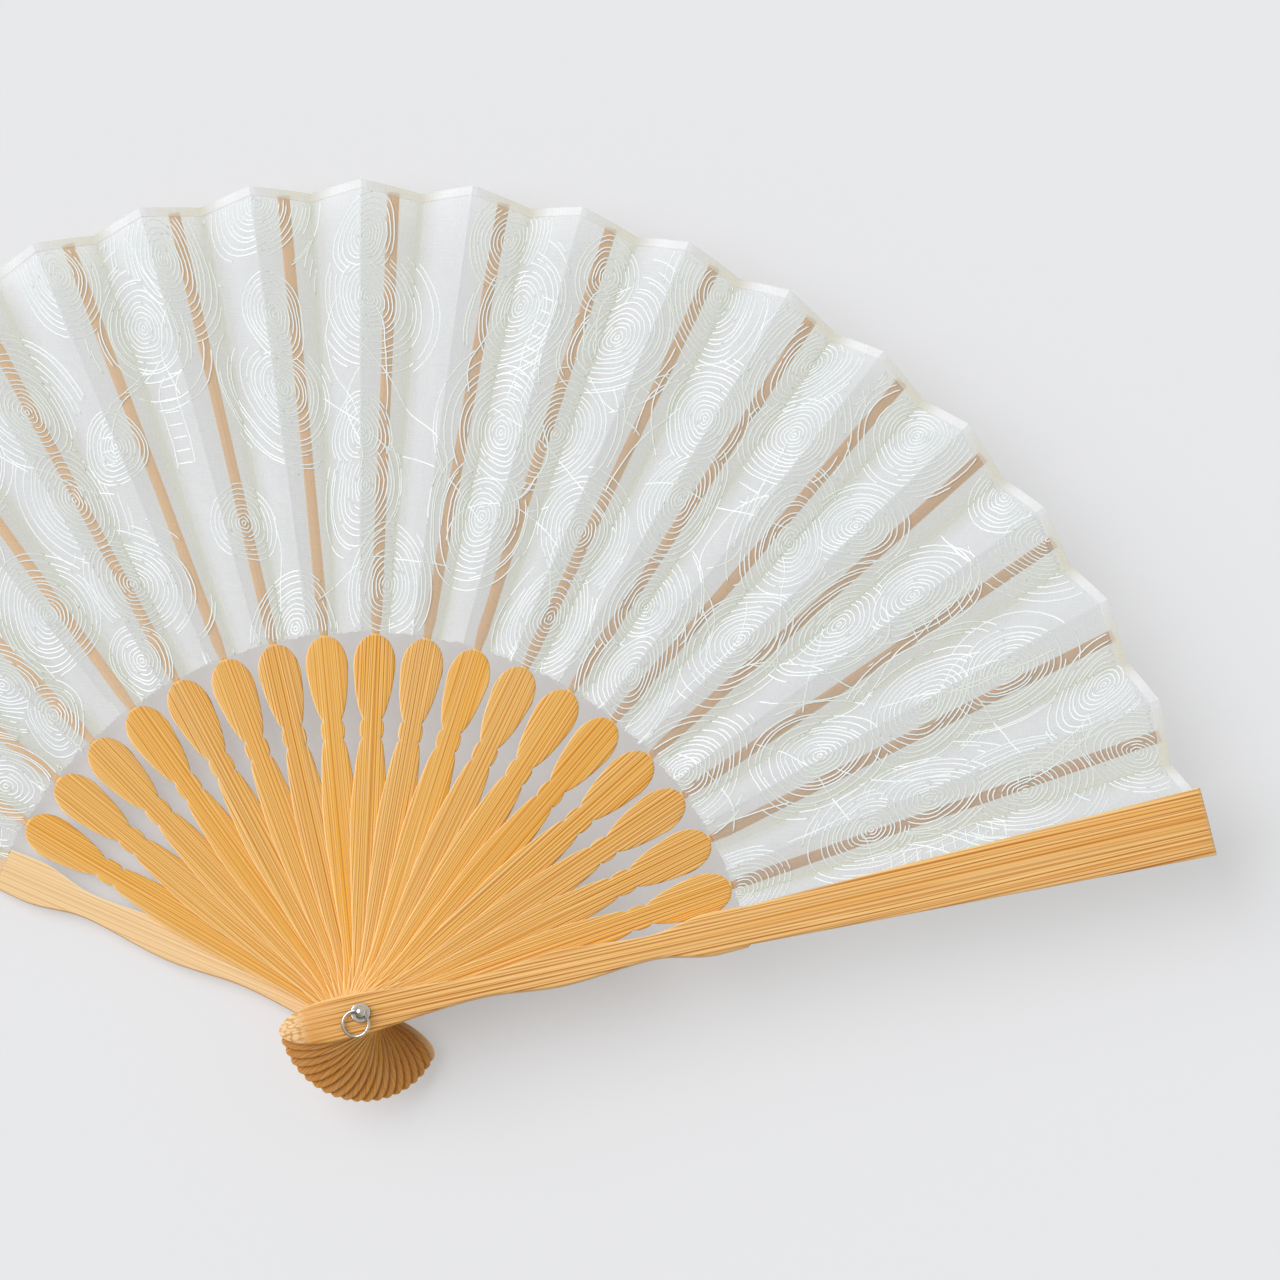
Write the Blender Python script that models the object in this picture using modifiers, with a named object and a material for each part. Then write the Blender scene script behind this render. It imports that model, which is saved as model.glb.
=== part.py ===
"""A hand fan that folds: a pleated leaf on eighteen inner ribs between two guards, all on one rivet.

The origin is on the rivet's axis at the flat face of its back head. +Z runs up the rivet, from the
back guard to the front guard, and +Y runs down the middle of the open fan.
"""

import math

import bmesh
import bpy
from mathutils import Matrix, Vector

MM = 0.001

# Opening of the fan
RIB_COUNT = 18
RIB_STEP = math.radians(7.6)
FRONT_GUARD_STEP = math.radians(6.5)

# Stack on the rivet
LAYER_GAP = 0.2 * MM
RIB_THICKNESS = 0.75 * MM
GUARD_THICKNESS = 3.0 * MM
GUARD_RELIEF = 1.9 * MM

# Rivet and its ring
PIN_RADIUS = 1.0 * MM
PIN_CLEARANCE = 0.15 * MM
PIN_HEAD_RADIUS = 2.3 * MM
PIN_HEAD_THICKNESS = 0.6 * MM
PIN_HEAD_CHAMFER = 0.2 * MM
PRESS_GAP = 0.05 * MM
SOCKET_DEPTH = 0.55 * MM
WASHER_RADIUS = 2.15 * MM
WASHER_THICKNESS = 0.5 * MM
EYE_BALL_RADIUS = 1.35 * MM
EYE_BALL_RISE = 1.2 * MM
EYE_NECK_SHARE = 0.75
EYE_HOLE_RADIUS = 0.75 * MM
RING_RADIUS = 2.8 * MM
RING_WIRE_RADIUS = 0.33 * MM
RING_REST_GAP = 0.1 * MM
RING_DIRECTION = math.radians(252.0)

# Rib handle, distances from the rivet
BUTT_LENGTH = 18.0 * MM
BUTT_HALF_WIDTH = 4.3 * MM
WAIST_DISTANCE = 15.0 * MM
WAIST_HALF_WIDTH = 2.35 * MM
BLADE_DISTANCE = 45.0 * MM
BLADE_HALF_WIDTH = 4.0 * MM
SHOULDER_HALF_WIDTH = 2.65 * MM
SHOULDER_LENGTH = 1.2 * MM
NECK_HALF_WIDTH = 2.1 * MM
BEAD_DISTANCE = 64.8 * MM
BEAD_HALF_WIDTH = 2.7 * MM
BEAD_LENGTH = 4.4 * MM
HEAD_DISTANCE = 78.8 * MM
HEAD_HALF_WIDTH = 4.7 * MM
HEAD_END = 86.0 * MM
HEAD_TIP_HALF_WIDTH = 1.3 * MM
HEAD_FULLNESS = 2.2

# Strip of each rib that carries the leaf
STRIP_THICKNESS = 0.4 * MM
STRIP_ROOT_HALF_WIDTH = 1.25 * MM
STRIP_TIP_HALF_WIDTH = 1.4 * MM
STRIP_ROOT_OVERLAP = 4.5 * MM
STRIP_TIP_INSET = 0.3 * MM

# Guard, distances from the rivet
GUARD_LENGTH = 191.4 * MM
GUARD_BUTT_HALF_WIDTH = 4.6 * MM
GUARD_WAIST_DISTANCE = 26.5 * MM
GUARD_WAIST_HALF_WIDTH = 2.4 * MM
GUARD_BLADE_HALF_WIDTH = 3.9 * MM
GUARD_NECK_HALF_WIDTH = 2.6 * MM
GUARD_SWELL_HALF_WIDTH = 4.7 * MM
GUARD_STEP_LENGTH = 0.5 * MM
GUARD_ARM_HALF_WIDTH = 4.2 * MM
GUARD_TIP_HALF_WIDTH = 7.7 * MM
GUARD_EDGE_ROUND = 1.0 * MM

# Pleated leaf
CLOTH_THICKNESS = 0.15 * MM
CLOTH_GAP = 0.05 * MM
CREASE_GAP = 0.15 * MM
LEAF_INNER_GAP = 0.4 * MM
LEAF_PEAK_RADIUS = 189.7 * MM
LEAF_VALLEY_RADIUS = 187.6 * MM
LEAF_FLAP_RADIUS = 190.6 * MM
PEAK_ANGLE = math.radians(2.25)
VALLEY_ANGLE = math.radians(1.9)
FLAP_ANGLE = math.radians(1.9)
FLAP_SHARE = 0.5
PANEL_TILT = math.radians(14.5)

# Worked out from the sizes above
SPREAD = RIB_COUNT * RIB_STEP + FRONT_GUARD_STEP
BACK_ANGLE = math.pi / 2 + SPREAD / 2
FRONT_ANGLE = BACK_ANGLE - SPREAD
RIB_PITCH = RIB_THICKNESS + LAYER_GAP
BACK_GUARD_LEVEL = PIN_HEAD_THICKNESS + LAYER_GAP + GUARD_THICKNESS / 2
FIRST_RIB_LEVEL = BACK_GUARD_LEVEL + GUARD_THICKNESS / 2 + LAYER_GAP + RIB_THICKNESS / 2
LAST_RIB_LEVEL = FIRST_RIB_LEVEL + (RIB_COUNT - 1) * RIB_PITCH
FRONT_GUARD_LEVEL = LAST_RIB_LEVEL + RIB_THICKNESS / 2 + LAYER_GAP + GUARD_THICKNESS / 2
FRONT_GUARD_TOP = FRONT_GUARD_LEVEL + GUARD_THICKNESS / 2
WASHER_LEVEL = FRONT_GUARD_TOP + LAYER_GAP
EYE_LEVEL = WASHER_LEVEL + WASHER_THICKNESS + EYE_BALL_RISE
RELIEF_START = HEAD_END + LEAF_INNER_GAP / 2
LEAF_INNER_RADIUS = HEAD_END + LEAF_INNER_GAP
CLOTH_RISE = (STRIP_THICKNESS / 2 + CLOTH_GAP + CLOTH_THICKNESS / 2) / math.cos(PANEL_TILT)
FLAP_DEPTH = GUARD_THICKNESS / 2 - GUARD_RELIEF + CLOTH_GAP + CLOTH_THICKNESS / 2

# Fineness of round shapes
TURNED_STEPS = 24
HOLE_SIDES = 16
RIB_CURVE_STEPS = 2
GUARD_CURVE_STEPS = 3
GUARD_ROUND_STEPS = 3
EYE_BALL_STEPS = 9
PANEL_STEPS = (1, 1)
FOLD_STEPS = (4, 2)
END_FOLD_STEPS = (4, 4)

BAMBOO = (0.76, 0.42, 0.13)
BAMBOO_INSIDE = (0.86, 0.62, 0.33)
ORGANZA = (0.78, 0.81, 0.80)
SILVER = (0.75, 0.75, 0.74)


def clear_scene():
    for obj in list(bpy.data.objects):
        bpy.data.objects.remove(obj)


def new_collection(name):
    collection = bpy.data.collections.new(name)
    bpy.context.scene.collection.children.link(collection)
    return collection


clear_scene()
FAN = new_collection("folding_fan")
CUTTERS = new_collection("cutters")


def finish_material(name, color, roughness, metallic=0.0):
    material = bpy.data.materials.new(name)
    material.use_nodes = True
    shader = material.node_tree.nodes["Principled BSDF"]
    shader.inputs["Base Color"].default_value = (*color, 1.0)
    shader.inputs["Roughness"].default_value = roughness
    shader.inputs["Metallic"].default_value = metallic
    return material


def place(name, mesh, color, roughness, metallic=0.0, parent=None):
    """Puts a mesh in the fan as a named object with its own material."""
    obj = bpy.data.objects.new(name, mesh)
    FAN.objects.link(obj)
    mesh.materials.clear()
    mesh.materials.append(finish_material(name, color, roughness, metallic))
    obj.parent = parent
    return obj


def pivot(name, level, angle, parent=None):
    """An empty on the rivet's axis, turned to a rib's direction."""
    empty = bpy.data.objects.new(name, None)
    empty.location = (0, 0, level)
    empty.rotation_euler = (0, 0, angle)
    empty.parent = parent
    FAN.objects.link(empty)
    return empty


def mesh_from(bm, name):
    mesh = bpy.data.meshes.new(name)
    bm.to_mesh(mesh)
    bm.free()
    return mesh


def as_cutter(name, mesh):
    cutter = bpy.data.objects.new(name, mesh)
    CUTTERS.objects.link(cutter)
    cutter.hide_render = True
    cutter.display_type = "WIRE"
    return cutter


def baked(name, mesh, operations):
    """The mesh after Boolean operations, given as (operation, cutter) pairs."""
    blank = as_cutter(name + "_blank", mesh)
    for operation, cutter in operations:
        boolean = blank.modifiers.new(cutter.name, "BOOLEAN")
        boolean.operation = operation
        boolean.object = cutter
    bpy.context.view_layer.update()
    graph = bpy.context.evaluated_depsgraph_get()
    result = bpy.data.meshes.new_from_object(blank.evaluated_get(graph))
    result.name = name
    bpy.data.objects.remove(blank)
    return result


def cylinder_cutter(name, radius, length, matrix=None):
    bm = bmesh.new()
    bmesh.ops.create_cone(
        bm,
        cap_ends=True,
        segments=HOLE_SIDES,
        radius1=radius,
        radius2=radius,
        depth=length,
        matrix=matrix or Matrix.Identity(4),
    )
    return as_cutter(name, mesh_from(bm, name))


def plate(name, stations, thickness, curve_steps):
    """A flat plate on the X axis from (distance, half width, is_corner) stations, its halves alike."""
    curve = bpy.data.curves.new(name, "CURVE")
    curve.dimensions = "2D"
    curve.fill_mode = "BOTH"
    curve.extrude = thickness / 2
    curve.resolution_u = curve_steps
    mirrored = [(x, -y, corner) for x, y, corner in reversed(stations) if y > 0]
    points = list(stations) + mirrored
    spline = curve.splines.new("BEZIER")
    spline.use_cyclic_u = True
    spline.bezier_points.add(len(points) - 1)
    for point, (x, y, corner) in zip(spline.bezier_points, points):
        point.co = (x, y, 0)
        point.handle_left_type = "VECTOR" if corner else "AUTO"
        point.handle_right_type = point.handle_left_type
    guide = bpy.data.objects.new(name, curve)
    CUTTERS.objects.link(guide)
    bpy.context.view_layer.update()
    graph = bpy.context.evaluated_depsgraph_get()
    outline = bpy.data.meshes.new_from_object(guide.evaluated_get(graph))
    bpy.data.objects.remove(guide)
    bm = bmesh.new()
    bm.from_mesh(outline)
    bmesh.ops.remove_doubles(bm, verts=bm.verts, dist=0.001 * MM)
    bmesh.ops.dissolve_limit(
        bm, angle_limit=math.radians(0.5), verts=bm.verts, edges=bm.edges
    )
    bmesh.ops.recalc_face_normals(bm, faces=bm.faces)
    return bm


def lofted_bar(name, sections):
    """A bar along X through rectangular sections (distance, half width, half thickness, twist)."""
    bm = bmesh.new()
    rings = []
    for distance, half_width, half_thickness, twist in sections:
        turn = Matrix.Translation((distance, 0, 0)) @ Matrix.Rotation(twist, 4, "X")
        corners = ((-1, -1), (1, -1), (1, 1), (-1, 1))
        rings.append(
            [bm.verts.new(turn @ Vector((0, y * half_width, z * half_thickness))) for y, z in corners]
        )
    for ring, following in zip(rings, rings[1:]):
        for i in range(len(ring)):
            j = (i + 1) % len(ring)
            bm.faces.new((ring[i], ring[j], following[j], following[i]))
    bm.faces.new(rings[0])
    bm.faces.new(rings[-1])
    bmesh.ops.recalc_face_normals(bm, faces=bm.faces)
    return mesh_from(bm, name)


def between(start, end, share):
    return start + (end - start) * share


def head_end(share):
    """A point of a rib's round head end, at a share of the way from its widest place to its tip."""
    fullness = (1 - share**HEAD_FULLNESS) ** (1 / HEAD_FULLNESS)
    return (between(HEAD_DISTANCE, HEAD_END, share), fullness * HEAD_HALF_WIDTH, False)


def rib_stations():
    """Outline of a rib's handle, from its butt to the end of its head."""
    bead_half = BEAD_LENGTH / 2
    return (
        (-BUTT_LENGTH, 0, False),
        (-0.8 * BUTT_LENGTH, 0.7 * BUTT_HALF_WIDTH, False),
        (-0.42 * BUTT_LENGTH, BUTT_HALF_WIDTH, False),
        (0, 0.93 * BUTT_HALF_WIDTH, False),
        (WAIST_DISTANCE, WAIST_HALF_WIDTH, False),
        ((WAIST_DISTANCE + BLADE_DISTANCE) / 2, (WAIST_HALF_WIDTH + BLADE_HALF_WIDTH) / 2, False),
        (BLADE_DISTANCE, BLADE_HALF_WIDTH, False),
        ((BLADE_DISTANCE + BEAD_DISTANCE) / 2, 0.85 * BLADE_HALF_WIDTH, False),
        (BEAD_DISTANCE - bead_half - SHOULDER_LENGTH, SHOULDER_HALF_WIDTH, False),
        (BEAD_DISTANCE - bead_half, NECK_HALF_WIDTH, True),
        (BEAD_DISTANCE, BEAD_HALF_WIDTH, False),
        (BEAD_DISTANCE + bead_half, NECK_HALF_WIDTH, True),
        ((BEAD_DISTANCE + HEAD_DISTANCE) / 2, 0.78 * HEAD_HALF_WIDTH, False),
        (HEAD_DISTANCE, HEAD_HALF_WIDTH, False),
        head_end(0.5),
        head_end(0.83),
        (HEAD_END, HEAD_TIP_HALF_WIDTH, True),
    )


def guard_stations():
    """Outline of a guard, from its butt to its square tip."""
    swell = HEAD_DISTANCE
    return (
        (-BUTT_LENGTH, 0, False),
        (-0.82 * BUTT_LENGTH, 0.65 * GUARD_BUTT_HALF_WIDTH, False),
        (-0.5 * BUTT_LENGTH, 0.96 * GUARD_BUTT_HALF_WIDTH, False),
        (0, GUARD_BUTT_HALF_WIDTH, False),
        (GUARD_WAIST_DISTANCE / 2, 0.68 * GUARD_BUTT_HALF_WIDTH, False),
        (GUARD_WAIST_DISTANCE, GUARD_WAIST_HALF_WIDTH, False),
        (BLADE_DISTANCE, GUARD_BLADE_HALF_WIDTH, False),
        (BEAD_DISTANCE, GUARD_NECK_HALF_WIDTH, False),
        (swell, GUARD_SWELL_HALF_WIDTH, False),
        (HEAD_END, 0.95 * GUARD_SWELL_HALF_WIDTH, True),
        (HEAD_END + GUARD_STEP_LENGTH, GUARD_ARM_HALF_WIDTH, True),
        (GUARD_LENGTH, GUARD_TIP_HALF_WIDTH, True),
    )


def rib_mesh(hole):
    """Handle plate with the thin leaf strip growing out of its head, turned to the leaf's tilt."""
    strip_end = LEAF_VALLEY_RADIUS - STRIP_TIP_INSET
    strip = lofted_bar(
        "rib_strip",
        (
            (HEAD_END - STRIP_ROOT_OVERLAP, STRIP_ROOT_HALF_WIDTH, STRIP_THICKNESS / 2, 0),
            (RELIEF_START, STRIP_ROOT_HALF_WIDTH, STRIP_THICKNESS / 2, PANEL_TILT),
            (strip_end, STRIP_TIP_HALF_WIDTH, STRIP_THICKNESS / 2, PANEL_TILT),
        ),
    )
    handle = mesh_from(plate("rib_handle", rib_stations(), RIB_THICKNESS, RIB_CURVE_STEPS), "rib")
    return baked("rib", handle, (("UNION", as_cutter("rib_strip", strip)), ("DIFFERENCE", hole)))


def guard_mesh(hole):
    """Guard with its outer side up: outer edges rounded, inner side thinned where the leaf lies."""
    bm = plate("guard", guard_stations(), GUARD_THICKNESS, GUARD_CURVE_STEPS)
    top = GUARD_THICKNESS / 2
    rim = [
        edge
        for edge in bm.edges
        if all(abs(v.co.z - top) < top / 10 for v in edge.verts)
    ]
    bmesh.ops.bevel(
        bm,
        geom=rim,
        offset=GUARD_EDGE_ROUND,
        segments=GUARD_ROUND_STEPS,
        profile=0.5,
        affect="EDGES",
        material=-1,
        clamp_overlap=True,
    )
    blank = mesh_from(bm, "guard")
    bm = bmesh.new()
    bmesh.ops.create_cube(bm, size=1)
    reach = GUARD_LENGTH - RELIEF_START
    bmesh.ops.scale(bm, vec=(2 * reach, 4 * GUARD_TIP_HALF_WIDTH, 2 * GUARD_RELIEF), verts=bm.verts)
    bmesh.ops.translate(bm, vec=(RELIEF_START + reach, 0, -top), verts=bm.verts)
    relief = as_cutter("guard_relief", mesh_from(bm, "guard_relief"))
    return baked("guard", blank, (("DIFFERENCE", relief), ("DIFFERENCE", hole)))


def leaf_grid(name, steps, point_at):
    """A sheet bent to point_at(u, v), where u runs outwards and v counter-clockwise."""
    bm = bmesh.new()
    bmesh.ops.create_grid(bm, x_segments=steps[0], y_segments=steps[1], size=0.5)
    for vert in bm.verts:
        vert.co = point_at(vert.co.x + 0.5, vert.co.y + 0.5)
    return mesh_from(bm, name)


def thicken(obj):
    solid = obj.modifiers.new("cloth_thickness", "SOLIDIFY")
    solid.thickness = CLOTH_THICKNESS
    solid.offset = 0


def polar(radius, angle, height):
    return Vector((radius * math.cos(angle), radius * math.sin(angle), height))


def crease_height(radius, angle):
    """Height over its rib of the cloth on that rib, at an angle from the rib's own direction."""
    return radius * math.sin(angle) * math.tan(PANEL_TILT) + CLOTH_RISE


def panel_point(u, v):
    """A point of the tilted panel on a rib, from the valley on its right to the peak on its left."""
    angle = between(-VALLEY_ANGLE, PEAK_ANGLE, v)
    outer = between(LEAF_VALLEY_RADIUS, LEAF_PEAK_RADIUS, v)
    radius = between(LEAF_INNER_RADIUS, outer, u)
    return polar(radius, angle, crease_height(radius, angle))


def fold_point(u, v):
    """A point of the fold between two ribs, seen from the lower rib: the next peak to this valley."""
    outer = between(LEAF_PEAK_RADIUS, LEAF_VALLEY_RADIUS, v)
    radius = between(LEAF_INNER_RADIUS, outer, u)
    peak, valley = PEAK_ANGLE - RIB_STEP, -VALLEY_ANGLE
    inset = CREASE_GAP / radius
    peak_height = RIB_PITCH + crease_height(radius, PEAK_ANGLE)
    valley_height = crease_height(radius, -VALLEY_ANGLE)
    return polar(
        radius, between(peak + inset, valley - inset, v), between(peak_height, valley_height, v)
    )


def first_fold_point(u, v):
    """The leaf's glued end on the back guard, then its rise to the first peak, seen from the guard."""
    if v >= FLAP_SHARE:
        share = (v - FLAP_SHARE) / (1 - FLAP_SHARE)
        radius = between(LEAF_INNER_RADIUS, LEAF_FLAP_RADIUS, u)
        return polar(radius, between(-FLAP_ANGLE, FLAP_ANGLE, share), FLAP_DEPTH)
    share = v / FLAP_SHARE
    outer = between(LEAF_PEAK_RADIUS, LEAF_FLAP_RADIUS, share)
    radius = between(LEAF_INNER_RADIUS, outer, u)
    peak = PEAK_ANGLE - RIB_STEP + CREASE_GAP / radius
    peak_height = FIRST_RIB_LEVEL - BACK_GUARD_LEVEL + crease_height(radius, PEAK_ANGLE)
    return polar(radius, between(peak, -FLAP_ANGLE, share), between(peak_height, FLAP_DEPTH, share))


def last_fold_point(u, v):
    """The rise from the last valley to the front guard, then the glued end under it, seen from the last rib."""
    flap_height = FRONT_GUARD_LEVEL - LAST_RIB_LEVEL - FLAP_DEPTH
    near_edge = FLAP_ANGLE - FRONT_GUARD_STEP
    if v <= FLAP_SHARE:
        radius = between(LEAF_INNER_RADIUS, LEAF_FLAP_RADIUS, u)
        angle = between(-FLAP_ANGLE - FRONT_GUARD_STEP, near_edge, v / FLAP_SHARE)
        return polar(radius, angle, flap_height)
    share = (v - FLAP_SHARE) / (1 - FLAP_SHARE)
    outer = between(LEAF_FLAP_RADIUS, LEAF_VALLEY_RADIUS, share)
    radius = between(LEAF_INNER_RADIUS, outer, u)
    valley = -VALLEY_ANGLE - CREASE_GAP / radius
    height = between(flap_height, crease_height(radius, -VALLEY_ANGLE), share)
    return polar(radius, between(near_edge, valley, share), height)


def turned(name, profile):
    """The half profile of a turned shape, from (radius, height) points that run top to bottom."""
    mesh = bpy.data.meshes.new(name)
    edges = [(i, i + 1) for i in range(len(profile) - 1)]
    mesh.from_pydata([(r, 0, z) for r, z in profile], edges, [])
    return mesh


def spin(obj):
    screw = obj.modifiers.new("turn", "SCREW")
    screw.steps = TURNED_STEPS
    screw.render_steps = TURNED_STEPS
    screw.use_merge_vertices = True
    screw.merge_threshold = 0.001 * MM


def pin_profile():
    """Shank up into the eye's socket, and the flat back head that is hammered over at its foot."""
    top = WASHER_LEVEL + SOCKET_DEPTH - PRESS_GAP
    return (
        (0, top),
        (PIN_RADIUS, top),
        (PIN_RADIUS, PIN_HEAD_THICKNESS),
        (PIN_HEAD_RADIUS - PIN_HEAD_CHAMFER, PIN_HEAD_THICKNESS),
        (PIN_HEAD_RADIUS, PIN_HEAD_THICKNESS - PIN_HEAD_CHAMFER),
        (PIN_HEAD_RADIUS, PIN_HEAD_CHAMFER),
        (PIN_HEAD_RADIUS - PIN_HEAD_CHAMFER, 0),
        (0, 0),
    )


def eye_profile():
    """Ball on a washer, with a blind socket for the pin under it. Heights are over the washer's foot."""
    centre = WASHER_THICKNESS + EYE_BALL_RISE
    lowest = math.asin(EYE_NECK_SHARE * EYE_BALL_RISE / EYE_BALL_RADIUS)
    ball = []
    for i in range(EYE_BALL_STEPS + 1):
        angle = between(math.pi / 2, -lowest, i / EYE_BALL_STEPS)
        ball.append((EYE_BALL_RADIUS * math.cos(angle), centre + EYE_BALL_RADIUS * math.sin(angle)))
    ball[0] = (0, centre + EYE_BALL_RADIUS)
    foot = ball[-1][0]
    round_off = WASHER_THICKNESS / 3
    socket = PIN_RADIUS + PRESS_GAP
    return (
        *ball,
        (foot, WASHER_THICKNESS),
        (WASHER_RADIUS - round_off, WASHER_THICKNESS),
        (WASHER_RADIUS, WASHER_THICKNESS - round_off),
        (WASHER_RADIUS, 0),
        (socket, 0),
        (socket, SOCKET_DEPTH),
        (0, SOCKET_DEPTH),
    )


def make_guards(mesh):
    """The back guard lies outer side down, and the front guard outer side up."""
    back_pivot = pivot("back_guard_pivot", BACK_GUARD_LEVEL, BACK_ANGLE)
    back = place("back_guard", mesh, BAMBOO_INSIDE, 0.45, parent=back_pivot)
    back.rotation_euler = (math.pi, 0, 0)
    front_pivot = pivot("front_guard_pivot", FRONT_GUARD_LEVEL, FRONT_ANGLE)
    place("front_guard", mesh.copy(), BAMBOO, 0.4, parent=front_pivot)
    return back_pivot


def make_ribs(mesh):
    """The inner ribs, each a step round and a layer up from the last. Gives their pivots."""
    pivots = []
    for k in range(RIB_COUNT):
        angle = BACK_ANGLE - (k + 1) * RIB_STEP
        level = FIRST_RIB_LEVEL + k * RIB_PITCH
        number = f"{k + 1:02d}"
        rib_pivot = pivot("rib_pivot_" + number, level, angle)
        place("rib_" + number, mesh.copy(), BAMBOO, 0.42, parent=rib_pivot)
        pivots.append(rib_pivot)
    return pivots


def make_leaf(back_pivot, rib_pivots):
    """One panel on each rib, and one fold before, between and after them."""
    panel = leaf_grid("leaf_panel", PANEL_STEPS, panel_point)
    fold = leaf_grid("leaf_fold", FOLD_STEPS, fold_point)
    first = leaf_grid("first_fold", END_FOLD_STEPS, first_fold_point)
    last = leaf_grid("last_fold", END_FOLD_STEPS, last_fold_point)
    thicken(place("leaf_fold_01", first, ORGANZA, 0.6, parent=back_pivot))
    for k, rib_pivot in enumerate(rib_pivots):
        number = f"{k + 1:02d}"
        thicken(place("leaf_panel_" + number, panel.copy(), ORGANZA, 0.6, parent=rib_pivot))
        following = last if k + 1 == RIB_COUNT else fold.copy()
        thicken(place(f"leaf_fold_{k + 2:02d}", following, ORGANZA, 0.6, parent=rib_pivot))


def make_rivet():
    """The pin through every layer, and the ball eye on its washer over the front guard."""
    spin(place("rivet_pin", turned("rivet_pin", pin_profile()), SILVER, 0.25, 1.0))
    eye = place("rivet_eye", turned("rivet_eye", eye_profile()), SILVER, 0.2, 1.0)
    eye.location = (0, 0, WASHER_LEVEL)
    spin(eye)
    across = Matrix.Rotation(RING_DIRECTION, 4, "Z") @ Matrix.Rotation(math.pi / 2, 4, "X")
    place_hole = Matrix.Translation((0, 0, EYE_LEVEL)) @ across
    hole = cylinder_cutter("eye_hole", EYE_HOLE_RADIUS, 4 * EYE_BALL_RADIUS, place_hole)
    boolean = eye.modifiers.new("eye_hole", "BOOLEAN")
    boolean.operation = "DIFFERENCE"
    boolean.object = hole


def make_ring():
    """The wire ring for a tassel, through the eye and lying down on the front guard."""
    hinge = pivot("tassel_ring_pivot", EYE_LEVEL, RING_DIRECTION)
    drop = EYE_LEVEL - FRONT_GUARD_TOP - RING_REST_GAP - RING_WIRE_RADIUS
    slope = math.asin(drop / (2 * RING_RADIUS))
    bpy.ops.mesh.primitive_torus_add(
        major_radius=RING_RADIUS,
        minor_radius=RING_WIRE_RADIUS,
        major_segments=28,
        minor_segments=8,
    )
    blank = bpy.context.object
    mesh = blank.data
    bpy.data.objects.remove(blank)
    ring = place("tassel_ring", mesh, SILVER, 0.2, 1.0, parent=hinge)
    ring.rotation_euler = (0, slope, 0)
    ring.location = (RING_RADIUS * math.cos(slope), 0, -RING_RADIUS * math.sin(slope))


def shade():
    for obj in FAN.objects:
        if obj.type == "MESH":
            obj.data.shade_smooth()
            obj.data.set_sharp_from_angle(angle=math.radians(35))


def main():
    hole = cylinder_cutter("rivet_hole", PIN_RADIUS + PIN_CLEARANCE, 2 * EYE_LEVEL)
    back_pivot = make_guards(guard_mesh(hole))
    rib_pivots = make_ribs(rib_mesh(hole))
    make_leaf(back_pivot, rib_pivots)
    make_rivet()
    make_ring()
    shade()


main()
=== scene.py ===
# %% [markdown]
# # A folding fan of bamboo and sheer cloth
#
# The fan is a stack of thin bamboo sticks on one rivet. Beyond their shaped handles the sticks
# carry the leaf, a pleated sheer cloth with stitched rings and a taped outer edge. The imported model
# gives the sticks, the leaf, the rivet and their joints. This lesson replaces each of them with a
# finer piece in the same place, and gives it the finish of the real material.

# %% Load the frame
import math
import random
from collections import namedtuple

import bmesh
import bpy
import numpy as np
from mathutils import Matrix, Vector


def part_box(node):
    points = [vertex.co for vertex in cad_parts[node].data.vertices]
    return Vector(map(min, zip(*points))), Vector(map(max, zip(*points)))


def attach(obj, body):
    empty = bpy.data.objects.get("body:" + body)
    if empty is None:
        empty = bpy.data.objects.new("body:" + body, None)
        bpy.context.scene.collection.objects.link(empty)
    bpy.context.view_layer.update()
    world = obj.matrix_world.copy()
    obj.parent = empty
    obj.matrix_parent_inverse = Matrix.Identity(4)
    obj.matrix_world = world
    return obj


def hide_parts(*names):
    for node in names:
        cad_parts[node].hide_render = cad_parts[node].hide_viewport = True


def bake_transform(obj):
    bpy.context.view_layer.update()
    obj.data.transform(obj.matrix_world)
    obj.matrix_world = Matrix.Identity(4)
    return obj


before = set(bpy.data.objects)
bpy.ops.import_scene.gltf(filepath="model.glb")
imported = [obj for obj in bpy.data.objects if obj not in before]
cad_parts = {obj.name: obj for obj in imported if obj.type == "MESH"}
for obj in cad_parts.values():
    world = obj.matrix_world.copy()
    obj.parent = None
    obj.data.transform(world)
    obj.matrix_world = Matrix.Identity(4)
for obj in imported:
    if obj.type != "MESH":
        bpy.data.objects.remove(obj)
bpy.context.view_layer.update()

# %% [markdown]
# ## Where every stick lies
#
# The sticks are a fan in plan and a spiral stair in height: each is a step round and a layer up
# from the last. The heights are read from the frame. The angles follow from three driving values.
# A piece is built along the X axis with its rivet hole at the origin, and then turned and lifted
# into its place.

# %% Place the sticks
MM = 0.001
RIB_COUNT = 18
RIB_STEP = math.radians(7.6)
FRONT_GUARD_STEP = math.radians(6.5)
SPREAD = RIB_COUNT * RIB_STEP + FRONT_GUARD_STEP
BACK_ANGLE = math.pi / 2 + SPREAD / 2

bodies = ["back_guard"] + [f"rib_{k:02d}" for k in range(1, RIB_COUNT + 1)] + ["front_guard"]
angles = [BACK_ANGLE - k * RIB_STEP for k in range(RIB_COUNT + 1)] + [BACK_ANGLE - SPREAD]


def middle_height(node):
    low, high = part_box(node)
    return (low.z + high.z) / 2


levels = [middle_height(body) for body in bodies]


def stick_place(k):
    """The matrix that puts a piece built along X on stick k."""
    return Matrix.Translation((0, 0, levels[k])) @ Matrix.Rotation(angles[k], 4, "Z")


print("sticks:", len(bodies), "up to", round(levels[-1] / MM, 2), "mm")

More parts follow.
